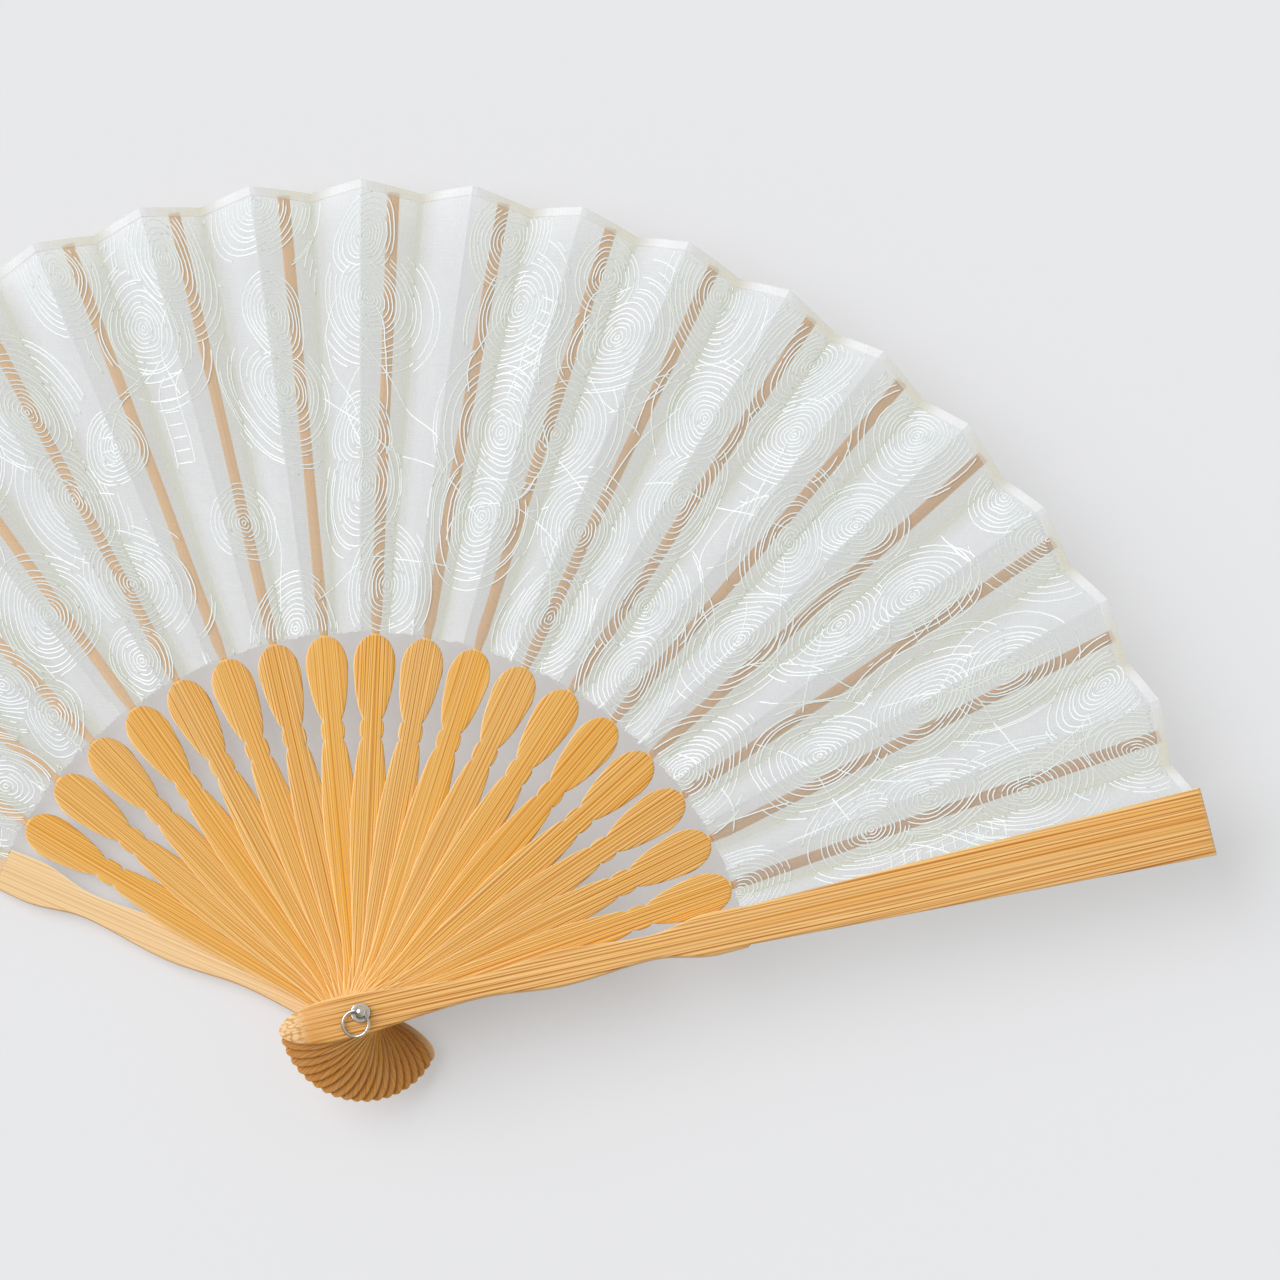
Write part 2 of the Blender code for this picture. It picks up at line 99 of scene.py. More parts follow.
# %% [markdown]
# ## Camera, floor and light
#
# The fan was seen from almost straight above, from far away with a long lens, so the pleats show
# hardly any perspective. A pale floor and a broad lamp from the upper left make soft shadows, and
# an even sky fills them, so that each colour renders about as it is written. A ray may pass
# through many layers of sheer cloth, or the closed fan would look black from its side.

# %% Set the camera, floor and lights
CAMERA_PLACE = (0.0046, -0.16701, 1.35358)
CAMERA_TURN = (10.628, -3.062, 5.096)
CAMERA_LENS = 172.92
CAMERA_REACH = 20
LAMP_DIRECTION = math.radians(170)
LAMP_HEIGHT = math.radians(45)
LAMP_SOFTNESS = math.radians(58)
LAMP_STRENGTH = 2.45
LAMP_COLOR = (0.985, 0.985, 1.01)
SKY_STRENGTH = 0.48
SKY_COLOR = (0.98, 1, 0.955, 1)
CLOTH_LAYERS = 32


def add_object(name, data):
    made = bpy.data.objects.new(name, data)
    bpy.context.scene.collection.objects.link(made)
    return made


camera = add_object("camera", bpy.data.cameras.new("camera"))
camera.location = CAMERA_PLACE
camera.rotation_euler = [math.radians(turn) for turn in CAMERA_TURN]
camera.data.lens = CAMERA_LENS
camera.data.clip_end = CAMERA_REACH
bpy.context.scene.camera = camera
bpy.context.scene.view_settings.view_transform = "Standard"
bpy.context.scene.cycles.transparent_max_bounces = CLOTH_LAYERS

lamp = add_object("window_light", bpy.data.lights.new("window_light", "SUN"))
lamp.data.energy = LAMP_STRENGTH
lamp.data.angle = LAMP_SOFTNESS
lamp.data.color = LAMP_COLOR
towards_lamp = Vector(
    (
        math.cos(LAMP_DIRECTION) * math.cos(LAMP_HEIGHT),
        math.sin(LAMP_DIRECTION) * math.cos(LAMP_HEIGHT),
        math.sin(LAMP_HEIGHT),
    )
)
lamp.rotation_euler = towards_lamp.to_track_quat("Z", "Y").to_euler()

sky = bpy.data.worlds.new("even_sky")
sky.use_nodes = True
sky.node_tree.nodes["Background"].inputs["Color"].default_value = SKY_COLOR
sky.node_tree.nodes["Background"].inputs["Strength"].default_value = SKY_STRENGTH
bpy.context.scene.world = sky
print("camera", round(camera.location.length, 3), "m from the rivet")

# %% [markdown]
# ## Shader maths in plain Python
#
# A material is a graph of nodes, and long graphs are hard to read when every link is a line of
# code. Here a small class wraps an output socket, so that `1 - mask` or `grain * 0.3` adds the
# Math node that does it. A second class holds one material and adds every other node.

# %% Make the shader helpers
def shown(red, green, blue):
    """A colour as a screen shows it, from 0 to 255, as the linear colour that a shader takes."""
    def linear(value):
        share = value / 255
        return share / 12.92 if share < 0.04045 else ((share + 0.055) / 1.055) ** 2.4

    return (linear(red), linear(green), linear(blue), 1)


class Wire:
    """An output socket that takes part in Python sums."""

    def __init__(self, finish, socket):
        self.finish = finish
        self.socket = socket

    def out(self, name):
        """Another output of the same node."""
        return Wire(self.finish, self.socket.node.outputs[name])

    def sum(self, operation, first, second):
        return self.finish.node("ShaderNodeMath", {"operation": operation}, {0: first, 1: second})

    def __add__(self, other):
        return self.sum("ADD", self, other)

    def __radd__(self, other):
        return self.sum("ADD", other, self)

    def __sub__(self, other):
        return self.sum("SUBTRACT", self, other)

    def __rsub__(self, other):
        return self.sum("SUBTRACT", other, self)

    def __mul__(self, other):
        return self.sum("MULTIPLY", self, other)

    def __rmul__(self, other):
        return self.sum("MULTIPLY", other, self)

    def between(self, low, high):
        """0 below low, 1 above high, and a smooth rise from one to the other."""
        settings = {"interpolation_type": "SMOOTHSTEP"}
        return self.finish.node("ShaderNodeMapRange", settings, {0: self, 1: low, 2: high})


class Finish:
    """One material around the Principled shader."""

    def __init__(self, name, **sockets):
        self.material = bpy.data.materials.new(name)
        self.material.use_nodes = True
        self.shader = self.material.node_tree.nodes["Principled BSDF"]
        self.set(**sockets)

    def set(self, **sockets):
        """Sets the shader's sockets, named with _ for a space, to values or wires."""
        for name, value in sockets.items():
            self.join(value, self.shader.inputs[name.replace("_", " ")])

    def join(self, value, socket):
        if isinstance(value, Wire):
            self.material.node_tree.links.new(value.socket, socket)
        else:
            socket.default_value = value

    def node(self, kind, settings, sockets, output=0):
        """Adds a node with its settings, then the values or wires of its sockets."""
        made = self.material.node_tree.nodes.new(kind)
        for name, value in settings.items():
            setattr(made, name, value)
        for name, value in sockets.items():
            self.join(value, made.inputs[name])
        return Wire(self, made.outputs[output])

    def mix(self, share, first, second):
        """One colour or wire of colour laid over another by a share."""
        return self.node("ShaderNodeMix", {"data_type": "RGBA"}, {0: share, 6: first, 7: second}, 2)

    def number(self, name):
        """A number that is stored on every point of a piece."""
        return self.node("ShaderNodeAttribute", {"attribute_name": name}, {}, "Fac")

    def grain(self):
        """The place along and across a piece, from its UV map."""
        place = self.node("ShaderNodeUVMap", {"uv_map": "grain"}, {})
        split = self.node("ShaderNodeSeparateXYZ", {}, {0: place})
        return split.out("X"), split.out("Y")

    def point(self, x, y):
        return self.node("ShaderNodeCombineXYZ", {}, {0: x, 1: y})

    def noise(self, vector, scale, detail):
        """Noise over a flat pattern."""
        sockets = {"Vector": vector, "Scale": scale, "Detail": detail}
        return self.node("ShaderNodeTexNoise", {"noise_dimensions": "2D"}, sockets)

    def mottle(self, scale, detail):
        """Noise in space."""
        place = self.node("ShaderNodeTexCoord", {}, {}, "Object")
        sockets = {"Vector": place, "Scale": scale, "Detail": detail}
        return self.node("ShaderNodeTexNoise", {}, sockets)

    def bump(self, height, distance, strength=1.0):
        sockets = {"Height": height, "Distance": distance, "Strength": strength}
        return self.node("ShaderNodeBump", {}, sockets)


print("bamboo on screen 230, 168, 88 is", [round(part, 3) for part in shown(230, 168, 88)])

# %% [markdown]
# The fan lay on a bright backlit table, so its shadows are faint. The floor's own light does this:
# seen by the camera it glows a little and reflects less, and to the fan it is plain white paper.

# %% Lay the floor
FLOOR_HALF = 3.0
FLOOR_PAPER = (0.80, 0.80, 0.80, 1)
FLOOR_SEEN = (0.475, 0.475, 0.49, 1)
FLOOR_GLOW = (0.325, 0.325, 0.328, 1)

floor_paper = Finish("floor_paper", Roughness=0.9, Specular_IOR_Level=0.1, Emission_Strength=1.0)
seen = floor_paper.node("ShaderNodeLightPath", {}, {}, "Is Camera Ray")
floor_paper.set(
    Base_Color=floor_paper.mix(seen, FLOOR_PAPER, FLOOR_SEEN),
    Emission_Color=floor_paper.mix(seen, (0, 0, 0, 1), FLOOR_GLOW),
)
floor_shape = bmesh.new()
bmesh.ops.create_grid(floor_shape, x_segments=1, y_segments=1, size=FLOOR_HALF)
floor_mesh = bpy.data.meshes.new("floor")
floor_shape.to_mesh(floor_mesh)
floor_shape.free()
floor_mesh.materials.append(floor_paper.material)
floor = add_object("floor", floor_mesh)
print("floor", 2 * FLOOR_HALF, "m wide")

# %% [markdown]
# ## Bamboo
#
# Split bamboo shows straight fibres that run the whole length of a stick: broad bands, fine lines
# and a few dark hairs. The pattern needs coordinates that follow each stick, so every stick has a
# UV map of its own, in tenths of a metre along and across. An attribute called tone is a number
# from 0 to 1 for each stick. It moves the pattern and shifts the colour, so no two look alike.
# Another, called veined, is how strongly a stick's dark lines show. A third is 1 on a stick's
# left edge and on its end, where a painted highlight stands for the lamp from the left catching the
# rounded edge. The last, called thin, is 0 on a handle and from 1 to 2 on the strip under the leaf,
# from pale to dark; the strip's colours are paler than the handle's, painted light that makes up for
# the shadow the cloth casts on it. Each pattern of lines has so many a millimetre across and so many
# a unit along. The colours are laid over the body's in layers, each with the share of it that shows.
# Towards the butt's end they darken: painted shade where the ribs lie under the guard, over a darker
# end grain.

# %% Mix the bamboo
GRAIN_PER_METRE = 10
GRAIN_MM = 1000 / GRAIN_PER_METRE
BUTT_START = -0.02
BUTT_END = -0.13
# The strips' colours are paler than the handles': painted light that makes up for the shadow the
# cloth casts on them.
STRIP_PALE = shown(249, 196, 128)
STRIP_DARK = shown(192, 138, 88)
FIBRE_BUMP = (0.03 * MM, 0.7)

# Lines: how many across and along, and their detail.
BANDS = (0.33, 0.8, 1.0)
GREY_BANDS = (0.2, 0.6, 0.0)
FIBRES = (1.6, 1.1, 2.0)
PATCHES = (0.7, 1.3, 1.0)
DRIFT = (0.3, 0.7, 1.0)

# Veins: how many across, and how far they drift.
DARK_VEINS = (1.25, 10)
FINE_VEINS = (2.05, 7)
BRIGHT_VEINS = (0.83, 17)


class Bamboo(Finish):
    """Bamboo with bands, fibres and dark veins along U, a painted highlight at its left edge and end,
    and painted shade and a stain at its butt.
    """

    def __init__(self, name, pale, body, grey, vein, edge, butt, veins, fineness, roughness):
        super().__init__(name, Specular_IOR_Level=0.35)
        self.fineness = fineness
        self.along, self.across = self.grain()
        self.tone = self.number("tone")
        veined, thin = self.number("veined") * veins, self.number("thin")
        bands = self.lines(*BANDS).between(0.36, 0.64)
        greyed = self.lines(*GREY_BANDS).between(0.5, 0.7)
        worn = self.node("ShaderNodeMath", {"operation": "FRACT"}, {0: self.tone * 7.3})
        fibres = self.lines(*FIBRES).between(0.42, 0.6)
        patchy = self.lines(*PATCHES).between(0.38, 0.6)
        dark_veins = self.ripple(*DARK_VEINS).between(0.45, 0.95) * (0.5 + patchy * 0.5)
        fine_veins = self.ripple(*FINE_VEINS).between(0.1, 0.95) * (1 - patchy * 0.4)
        bright_veins = self.ripple(*BRIGHT_VEINS).between(0.75, 1)
        # Painted shade towards the butt's end, where the ribs lie under the guard, over a darker end
        # grain.
        stained_and_shaded = (BUTT_START - self.along).between(0, BUTT_START - BUTT_END)
        layers = (
            (bands * (veined * 0.5), pale),
            (worn * 0.6 + greyed * 0.2, grey),
            (fibres * 0.1, vein),
            (fine_veins * (veined * 0.8), vein),
            (dark_veins * (veined * 1.1), vein),
            (bright_veins * 0.3, edge),
            # The butt darkens: painted shade over a darker end grain.
            (stained_and_shaded * 0.6, butt),
            # The strip's paler colour is painted light against the cloth's shadow on it.
            (thin.between(0, 1) * 0.78, self.mix(thin - 1, STRIP_PALE, STRIP_DARK)),
            # A painted highlight on the left edge and the end, where the lamp from the left catches
            # them.
            (self.number("painted_edge_highlight") * 0.6, edge),
        )
        self.color = body
        for share, color in layers:
            self.color = self.mix(share, self.color, color)
        self.height = fibres * 0.3 - dark_veins - fine_veins * 0.5
        self.set(
            Base_Color=self.color,
            Roughness=roughness + fibres * 0.1,
            Normal=self.bump(self.height, *FIBRE_BUMP),
        )

    def lines(self, per_mm, per_unit, detail):
        """Noise drawn out along the stick. The tone moves it, and each pattern differently."""
        shift = self.tone * (31 + 11 * per_mm)
        across = self.across * (per_mm * GRAIN_MM) + shift * 3
        return self.noise(self.point(self.along * per_unit + shift, across), 1.0, detail)

    def ripple(self, per_mm, drift):
        """A sine wave across the stick. Its even spacing drifts along it and with the tone."""
        even = self.across * (per_mm * self.fineness * GRAIN_MM * math.tau)
        turns = even + self.lines(*DRIFT) * drift
        return self.node("ShaderNodeMath", {"operation": "SINE"}, {0: turns + self.tone * 50})


rib_bamboo = Bamboo(
    "rib_bamboo",
    pale=shown(246, 200, 110),
    body=shown(241, 175, 60),
    grey=shown(231, 186, 116),
    vein=shown(184, 112, 44),
    edge=shown(252, 224, 168),
    butt=shown(172, 104, 42),
    veins=0.8,
    fineness=1.0,
    roughness=0.42,
)
inner_bamboo = Bamboo(
    "inner_bamboo",
    pale=shown(250, 221, 172),
    body=shown(245, 208, 153),
    grey=shown(236, 200, 159),
    vein=shown(214, 164, 104),
    edge=shown(250, 224, 180),
    butt=shown(205, 155, 98),
    veins=0.5,
    fineness=0.7,
    roughness=0.5,
)
print("finishes:", rib_bamboo.material.name, inner_bamboo.material.name)

# %% [markdown]
# ## The guards' outer face
#
# The outer face of a guard is the skin side of the bamboo, oiled and a little glossy. At its butt
# the face is ground down in a slope, which cuts the fibres at a slant, so their ends show as a
# scaly patch. A stretched cell pattern gives those scales, and a smooth rise limits it to the butt.

# %% Mix the guard's skin
SCALES_START = -0.11
SCALES_END = -0.15
SCALES_PER_MM = 1.9
SCALE_LENGTH = 0.5

guard_bamboo = Bamboo(
    "guard_bamboo",
    pale=shown(248, 210, 138),
    body=shown(239, 177, 86),
    grey=shown(232, 189, 136),
    vein=shown(186, 114, 46),
    edge=shown(252, 220, 160),
    butt=shown(214, 150, 76),
    veins=0.9,
    fineness=0.62,
    roughness=0.36,
)
scale_place = guard_bamboo.point(
    guard_bamboo.along * (GRAIN_MM * SCALES_PER_MM * SCALE_LENGTH),
    guard_bamboo.across * (GRAIN_MM * SCALES_PER_MM),
)
cells = guard_bamboo.node(
    "ShaderNodeTexVoronoi", {"voronoi_dimensions": "2D"}, {"Vector": scale_place, "Scale": 1.0}
)
scaly = (SCALES_START - guard_bamboo.along).between(0, SCALES_START - SCALES_END)
rims = cells.between(0.38, 0.66)
scale_color = guard_bamboo.mix(rims, shown(247, 222, 176), shown(200, 142, 78))
guard_bamboo.set(
    Base_Color=guard_bamboo.mix(scaly * 0.55, guard_bamboo.color, scale_color),
    Normal=guard_bamboo.bump(guard_bamboo.height - rims * scaly * 2, *FIBRE_BUMP),
)
print("the scales start", SCALES_START * GRAIN_MM, "mm from the rivet")

# %% [markdown]
# ## Cloth, thread, tape and metal
#
# Organza is sheer: most light passes between its threads. The Principled shader's Alpha does this,
# at a low value because a ray meets both faces of the thin cloth. A faint weave varies the colour.
# Three numbers on every point shape the rest. The first tells how much glue has soaked in, which
# clears the cloth around the sticks, and how dark and yellow the cloth turns there: a little glue
# stain and mostly painted shade of the panels, which slant away from the lamp, and of the fold
# beside each valley. "bow" is the height of a soft crease over a straight one, as a bump. "pressed"
# marks the valleys, where the cloth is dense. The embroidery thread is the same silk, but opaque,
# and it is duller on the panels away from the strip, with the same painted shade. The tape on the
# edge is nearly opaque, and takes the painted shade too. The rivet is silver, with a painted
# highlight where it faces up and to the right, and painted shade where it doesn't.

# %% Mix the soft finishes and the metal
CLOTH_ALPHA = 0.24
TAPE_ALPHA = 0.62
PRESSED_ALPHA = 0.7
WEAVE_PER_MM = 3.1
WEAVE_ALONG = 0.12
GLUE_CLEARS = 0.18
THREAD_MOTTLE = 90.0
METAL_SMEARS = 700.0


def organza(name, color, thin_color, glue_and_shade_color, alpha, weave_contrast):
    """Sheer cloth: two crossed sets of fine lines vary its colour and how much it hides."""
    finish = Finish(name, Roughness=0.62, Specular_IOR_Level=0.25)
    finish.set(Sheen_Weight=0.2, Sheen_Roughness=0.4)
    along, across = (place * GRAIN_MM for place in finish.grain())
    warp = finish.noise(finish.point(along * WEAVE_PER_MM, across * WEAVE_ALONG), 1.0, 1.0)
    weft = finish.noise(finish.point(along * WEAVE_ALONG, across * WEAVE_PER_MM), 1.0, 1.0)
    thin = (warp + weft).between(0.75, 1.25)
    glue_and_shade = finish.number("glue_and_shade")
    clean_color = finish.mix(thin * weave_contrast, color, thin_color)
    hidden = alpha * (1 + weave_contrast / 2) - thin * (alpha * weave_contrast)
    open_alpha = hidden * (1 - glue_and_shade * GLUE_CLEARS)
    # Near the sticks the cloth is darker and yellower: painted shade of the slanted panels, with a
    # little glue stain.
    finish.set(
        Base_Color=finish.mix(glue_and_shade, clean_color, glue_and_shade_color),
        Alpha=open_alpha + finish.number("pressed") * (PRESSED_ALPHA - alpha),
        Normal=finish.bump(finish.number("bow"), MM),
    )
    return finish


leaf_organza = organza(
    "leaf_organza",
    color=shown(238, 241, 244),
    thin_color=shown(226, 232, 233),
    glue_and_shade_color=shown(229, 230, 219),
    alpha=CLOTH_ALPHA,
    weave_contrast=0.2,
)
edge_tape = organza(
    "edge_tape",
    color=shown(240, 240, 241),
    thin_color=shown(234, 234, 235),
    glue_and_shade_color=shown(236, 232, 216),
    alpha=TAPE_ALPHA,
    weave_contrast=0.08,
)

silk_thread = Finish("silk_thread", Roughness=0.5, Specular_IOR_Level=0.3, Sheen_Weight=0.2)
thread_tint = silk_thread.mottle(THREAD_MOTTLE, 2.0).between(0.35, 0.65)
thread_color = silk_thread.mix(thread_tint, shown(244, 248, 248), shown(232, 239, 239))
# On the panels the thread is duller: painted shade, for the panels slant away from the lamp.
silk_thread.set(
    Base_Color=silk_thread.mix(silk_thread.number("glue_and_shade"), thread_color, shown(228, 233, 224))
)

rivet_silver = Finish("rivet_silver", Metallic=1.0)
smears = rivet_silver.mottle(METAL_SMEARS, 4.0)
silver = rivet_silver.mix(smears.between(0.4, 0.7), shown(244, 243, 240), shown(214, 210, 204))
# Painted light on the metal: bright silver where a point faces the upper right, dark painted shade
# where it faces away.
painted_light = rivet_silver.number("painted_light").between(0, 0.85)
rivet_silver.set(
    Base_Color=rivet_silver.mix(painted_light, shown(146, 134, 122), silver),
    Roughness=0.14 + smears * 0.18,
)
print("the cloth hides", round(1 - (1 - CLOTH_ALPHA) ** 2, 2), "of what is under it")

# %% [markdown]
# ## Slabs
#
# A stick and a pleat are the same kind of shape: a long thin plate whose outline, thickness and
# bend change from place to place. Each starts as a flat grid. Extruding its faces gives a second
# layer and the rim between them, and then every vertex is moved to where a function says. The
# result is a closed shell with clean rows of faces.

# %% Make the slab and mesh helpers
UPRIGHT_BELOW = 0.3
SAME_POINT = 0.001 * MM


def slab(columns, rows, place):
    """A closed plate of cells. place(column, row, side) gives each corner, side 1 on top."""
    bm = bmesh.new()
    bmesh.ops.create_grid(bm, x_segments=columns, y_segments=rows, size=0.5)
    lower = list(bm.verts)
    copied = bmesh.ops.extrude_face_region(bm, geom=list(bm.faces))["geom"]
    upper = [part for part in copied if isinstance(part, bmesh.types.BMVert)]
    for verts, side in ((lower, -1), (upper, 1)):
        for vert in verts:
            column = round((vert.co.x + 0.5) * columns)
            row = round((vert.co.y + 0.5) * rows)
            vert.co = place(column, row, side)
    bmesh.ops.recalc_face_normals(bm, faces=bm.faces)
    return bm


def mesh_of(bm, name):
    mesh = bpy.data.meshes.new(name)
    bm.to_mesh(mesh)
    bm.free()
    return mesh


def corners(mesh):
    """The mesh's points as rows of x, y, z."""
    flat = np.empty(len(mesh.vertices) * 3, np.float32)
    mesh.vertices.foreach_get("co", flat)
    return flat.reshape(-1, 3)


def lay_grain(mesh):
    """A UV map in tenths of a metre, along the mesh and across it, and down its upright faces."""
    grain = mesh.uv_layers.new(name="grain")
    used = np.empty(len(mesh.loops), np.int32)
    mesh.loops.foreach_get("vertex_index", used)
    x, y, z = corners(mesh)[used].T
    upright = [abs(face.normal.z) < UPRIGHT_BELOW for face in mesh.polygons]
    down = np.repeat(upright, [face.loop_total for face in mesh.polygons])
    places = np.stack((x, y + z * down), 1) * GRAIN_PER_METRE
    grain.data.foreach_set("uv", places.ravel())


def set_number(mesh, name, values):
    """Stores a number on every point, for a material to read. One value serves for all."""
    attribute = mesh.attributes.new(name, "FLOAT", "POINT")
    every = np.broadcast_to(np.float32(values), len(mesh.vertices))
    attribute.data.foreach_set("value", every.copy())


def smoothed(mesh, sharp_degrees):
    """The same mesh, shaded smooth except over edges that turn more than that."""
    mesh.shade_smooth()
    mesh.set_sharp_from_angle(angle=math.radians(sharp_degrees))
    return mesh


def settled(piece):
    """A new mesh of an object as its modifiers or its bevel leave it."""
    bpy.context.view_layer.update()
    graph = bpy.context.evaluated_depsgraph_get()
    return bpy.data.meshes.new_from_object(piece.evaluated_get(graph))


def combined(name, base, *steps):
    """The mesh after Boolean steps, each an operation and another mesh."""
    blank = add_object(name, base)
    others = []
    for operation, mesh in steps:
        other = add_object(name + "_step", mesh)
        boolean = blank.modifiers.new("step", "BOOLEAN")
        boolean.operation = operation
        boolean.object = other
        others.append(other)
    result = settled(blank)
    for used in (blank, *others):
        bpy.data.objects.remove(used)
    return result


block = slab(2, 1, lambda column, row, side: Vector((column, row, side)))
print("a slab of 2 x 1 cells has", len(block.faces), "faces")
block.free()

# %% [markdown]
# ## Outlines
#
# The outline of a stick is half of its width at each distance from the rivet. A maker would cut it
# to a template with a few full and narrow places, so the widths are given only there, and a smooth
# curve runs through them that never swells past them. The round ends follow a superellipse, which
# is a little fuller than a half circle.

# %% Make the outline helpers
def curve_through(stations):
    """A smooth function through (distance, value) stations, without overshoot."""
    xs, ys = zip(*stations)
    rises = [(ys[i + 1] - ys[i]) / (xs[i + 1] - xs[i]) for i in range(len(xs) - 1)]
    slopes = [rises[0]]
    for before, after in zip(rises, rises[1:]):
        slopes.append(0 if before * after <= 0 else 2 * before * after / (before + after))
    slopes.append(rises[-1])

    def value(x):
        i = max(i for i in range(len(rises)) if x >= xs[i] or i == 0)
        span = xs[i + 1] - xs[i]
        t = min(max((x - xs[i]) / span, 0), 1)
        start = ys[i] * (1 + 2 * t) * (1 - t) ** 2 + slopes[i] * span * t * (1 - t) ** 2
        end = ys[i + 1] * t * t * (3 - 2 * t) - slopes[i + 1] * span * t * t * (1 - t)
        return start + end

    return value


def round_end(share, fullness):
    """The width left at a share of the way into a round end."""
    return max(1 - share**fullness, 0) ** (1 / fullness)


def spread_between(start, end, count, ease=0):
    """Count distances from start up to end, closer together at the start (-1) or the end (1)."""
    places = []
    for i in range(count):
        share = i / count
        if ease < 0:
            share = 1 - math.cos(share * math.pi / 2)
        elif ease > 0:
            share = math.sin(share * math.pi / 2)
        places.append(start + (end - start) * share)
    return places


print("half way along, a round end is", round(round_end(0.5, 2.2), 3), "of its full width")

# %% [markdown]
# ## The ribs
#
# From the rivet outwards a rib has a round butt, a waist, a leaf-shaped blade, a shoulder, a small
# bead between two necks, and a paddle-shaped head with a round end. A thin strip grows out of the
# head and carries the leaf. It is twisted, because the leaf's panels stand at a slant.

# %% Draw a rib's outline
BUTT_END_AT = -18.0 * MM
BUTT_WIDEST_AT = -7.6 * MM
BUTT_HALF_WIDTH = 4.3 * MM
BUTT_FULLNESS = 1.9
BEAD_START = 62.6 * MM
BEAD_END = 66.9 * MM
NECK_HALF_WIDTH = 2.05 * MM
BEAD_HALF_WIDTH = 2.68 * MM
HEAD_AT = 78.8 * MM
HEAD_HALF_WIDTH = 4.7 * MM
HEAD_END = 86.0 * MM
HEAD_FULLNESS = 2.2
END_HALF_WIDTH = 0.45 * MM
SHOULDER_AT = 55 * MM

rib_blade = curve_through(
    [
        (BUTT_WIDEST_AT, BUTT_HALF_WIDTH),
        (0, 4.0 * MM),
        (15 * MM, 2.35 * MM),
        (30 * MM, 3.25 * MM),
        (45 * MM, 4.0 * MM),
        (55.2 * MM, 3.4 * MM),
        (59.6 * MM, 2.95 * MM),
        (61.4 * MM, 2.64 * MM),
        (62.3 * MM, 2.33 * MM),
        (BEAD_START, NECK_HALF_WIDTH),
    ]
)
rib_head = curve_through(
    [
        (BEAD_END, NECK_HALF_WIDTH),
        (68.6 * MM, 2.85 * MM),
        (73.0 * MM, 3.95 * MM),
        (HEAD_AT, HEAD_HALF_WIDTH),
    ]
)


def rib_half_width(x):
    if x < BUTT_WIDEST_AT:
        share = (x - BUTT_WIDEST_AT) / (BUTT_END_AT - BUTT_WIDEST_AT)
        return max(round_end(share, BUTT_FULLNESS) * BUTT_HALF_WIDTH, END_HALF_WIDTH)
    if x < BEAD_START:
        return rib_blade(x)
    if x < BEAD_END:
        share = abs(2 * (x - BEAD_START) / (BEAD_END - BEAD_START) - 1)
        return NECK_HALF_WIDTH + (BEAD_HALF_WIDTH - NECK_HALF_WIDTH) * round_end(share, 2)
    if x < HEAD_AT:
        return rib_head(x)
    share = (x - HEAD_AT) / (HEAD_END - HEAD_AT)
    return max(round_end(share, HEAD_FULLNESS) * HEAD_HALF_WIDTH, END_HALF_WIDTH)


print("a rib's head is", round(2 * rib_half_width(HEAD_AT) / MM, 1), "mm wide")

# %% [markdown]
# ## Edges that catch the light
#
# Every stick's edges are worn round. A line of light on the left edge of each rib is what keeps
# the ribs apart to the eye, so the rounding is real geometry: the outer rows of a slab lie close
# together and drop along a quarter circle. The left edge lies free on the rib below and faces the
# lamp, and it also gets a painted highlight, pale in the bamboo's colour.

# %% Cut a rib
RIB_THICKNESS = 0.75 * MM
RIB_EDGE = 0.3 * MM
RIB_EDGE_DROP = 0.24 * MM
EDGE_INSETS = (0.0, 0.12, 0.4, 1.0)
EDGE_LIMIT = 0.4


def stick_rows(inner_rows):
    """For each lengthwise row: its share of the half width, and its inset in edge roundings."""
    left = [(-1.0, inset) for inset in EDGE_INSETS]
    inner = [(2 * (i + 1) / (inner_rows + 1) - 1, None) for i in range(inner_rows)]
    return left + inner + [(1.0, inset) for inset in reversed(EDGE_INSETS)]


def row_offset(row, half_width, edge):
    """(distance from the middle, drop as a share of the edge's drop) of a row at one station."""
    share, inset = row
    if inset is None:
        return share * (half_width - edge), 0.0
    drop = 1 - math.sqrt(1 - (1 - inset) ** 2)
    return share * (half_width - inset * edge), drop


def stick_shape(stations, half_width, rows, edge, height):
    """A stick's slab. height(x, y, side, drop) gives the height of a corner."""
    def corner(column, row, side):
        x = stations[column]
        half = half_width(x)
        y, drop = row_offset(rows[row], half, min(edge, EDGE_LIMIT * half))
        ends = min(x - stations[0], stations[-1] - x)
        drop = max(drop, 1 - math.sqrt(min(ends / edge, 1)))
        return Vector((x, y, height(x, y, side, drop)))

    return slab(len(stations) - 1, len(rows) - 1, corner)


rib_stations = (
    spread_between(BUTT_END_AT, BUTT_WIDEST_AT, 14, -1)
    + spread_between(BUTT_WIDEST_AT, SHOULDER_AT, 22)
    + spread_between(SHOULDER_AT, BEAD_START, 12)
    + spread_between(BEAD_START, BEAD_END, 10)
    + spread_between(BEAD_END, HEAD_AT, 14)
    + spread_between(HEAD_AT, HEAD_END, 16, 1)
    + [HEAD_END]
)


def rib_height(x, y, side, drop):
    return side * (RIB_THICKNESS / 2 - drop * RIB_EDGE_DROP)


rib_handle = stick_shape(rib_stations, rib_half_width, stick_rows(3), RIB_EDGE, rib_height)
print("a rib's handle has", len(rib_handle.faces), "faces")

# %% Grow the strip and drill the rib
STRIP_START = 84.4 * MM
STRIP_TWIST_END = 86.3 * MM
STRIP_END = 187.3 * MM
STRIP_ROOT_HALF_WIDTH = 0.85 * MM
STRIP_HALF_THICKNESS = 0.2 * MM
STRIP_EDGE = 0.1 * MM
PANEL_TILT = math.radians(14.5)
HOLE_RADIUS = 1.15 * MM
HOLE_DEPTH = 10 * MM
BAMBOO_SHARP = 38
HIGHLIGHT_REACH = 1.1

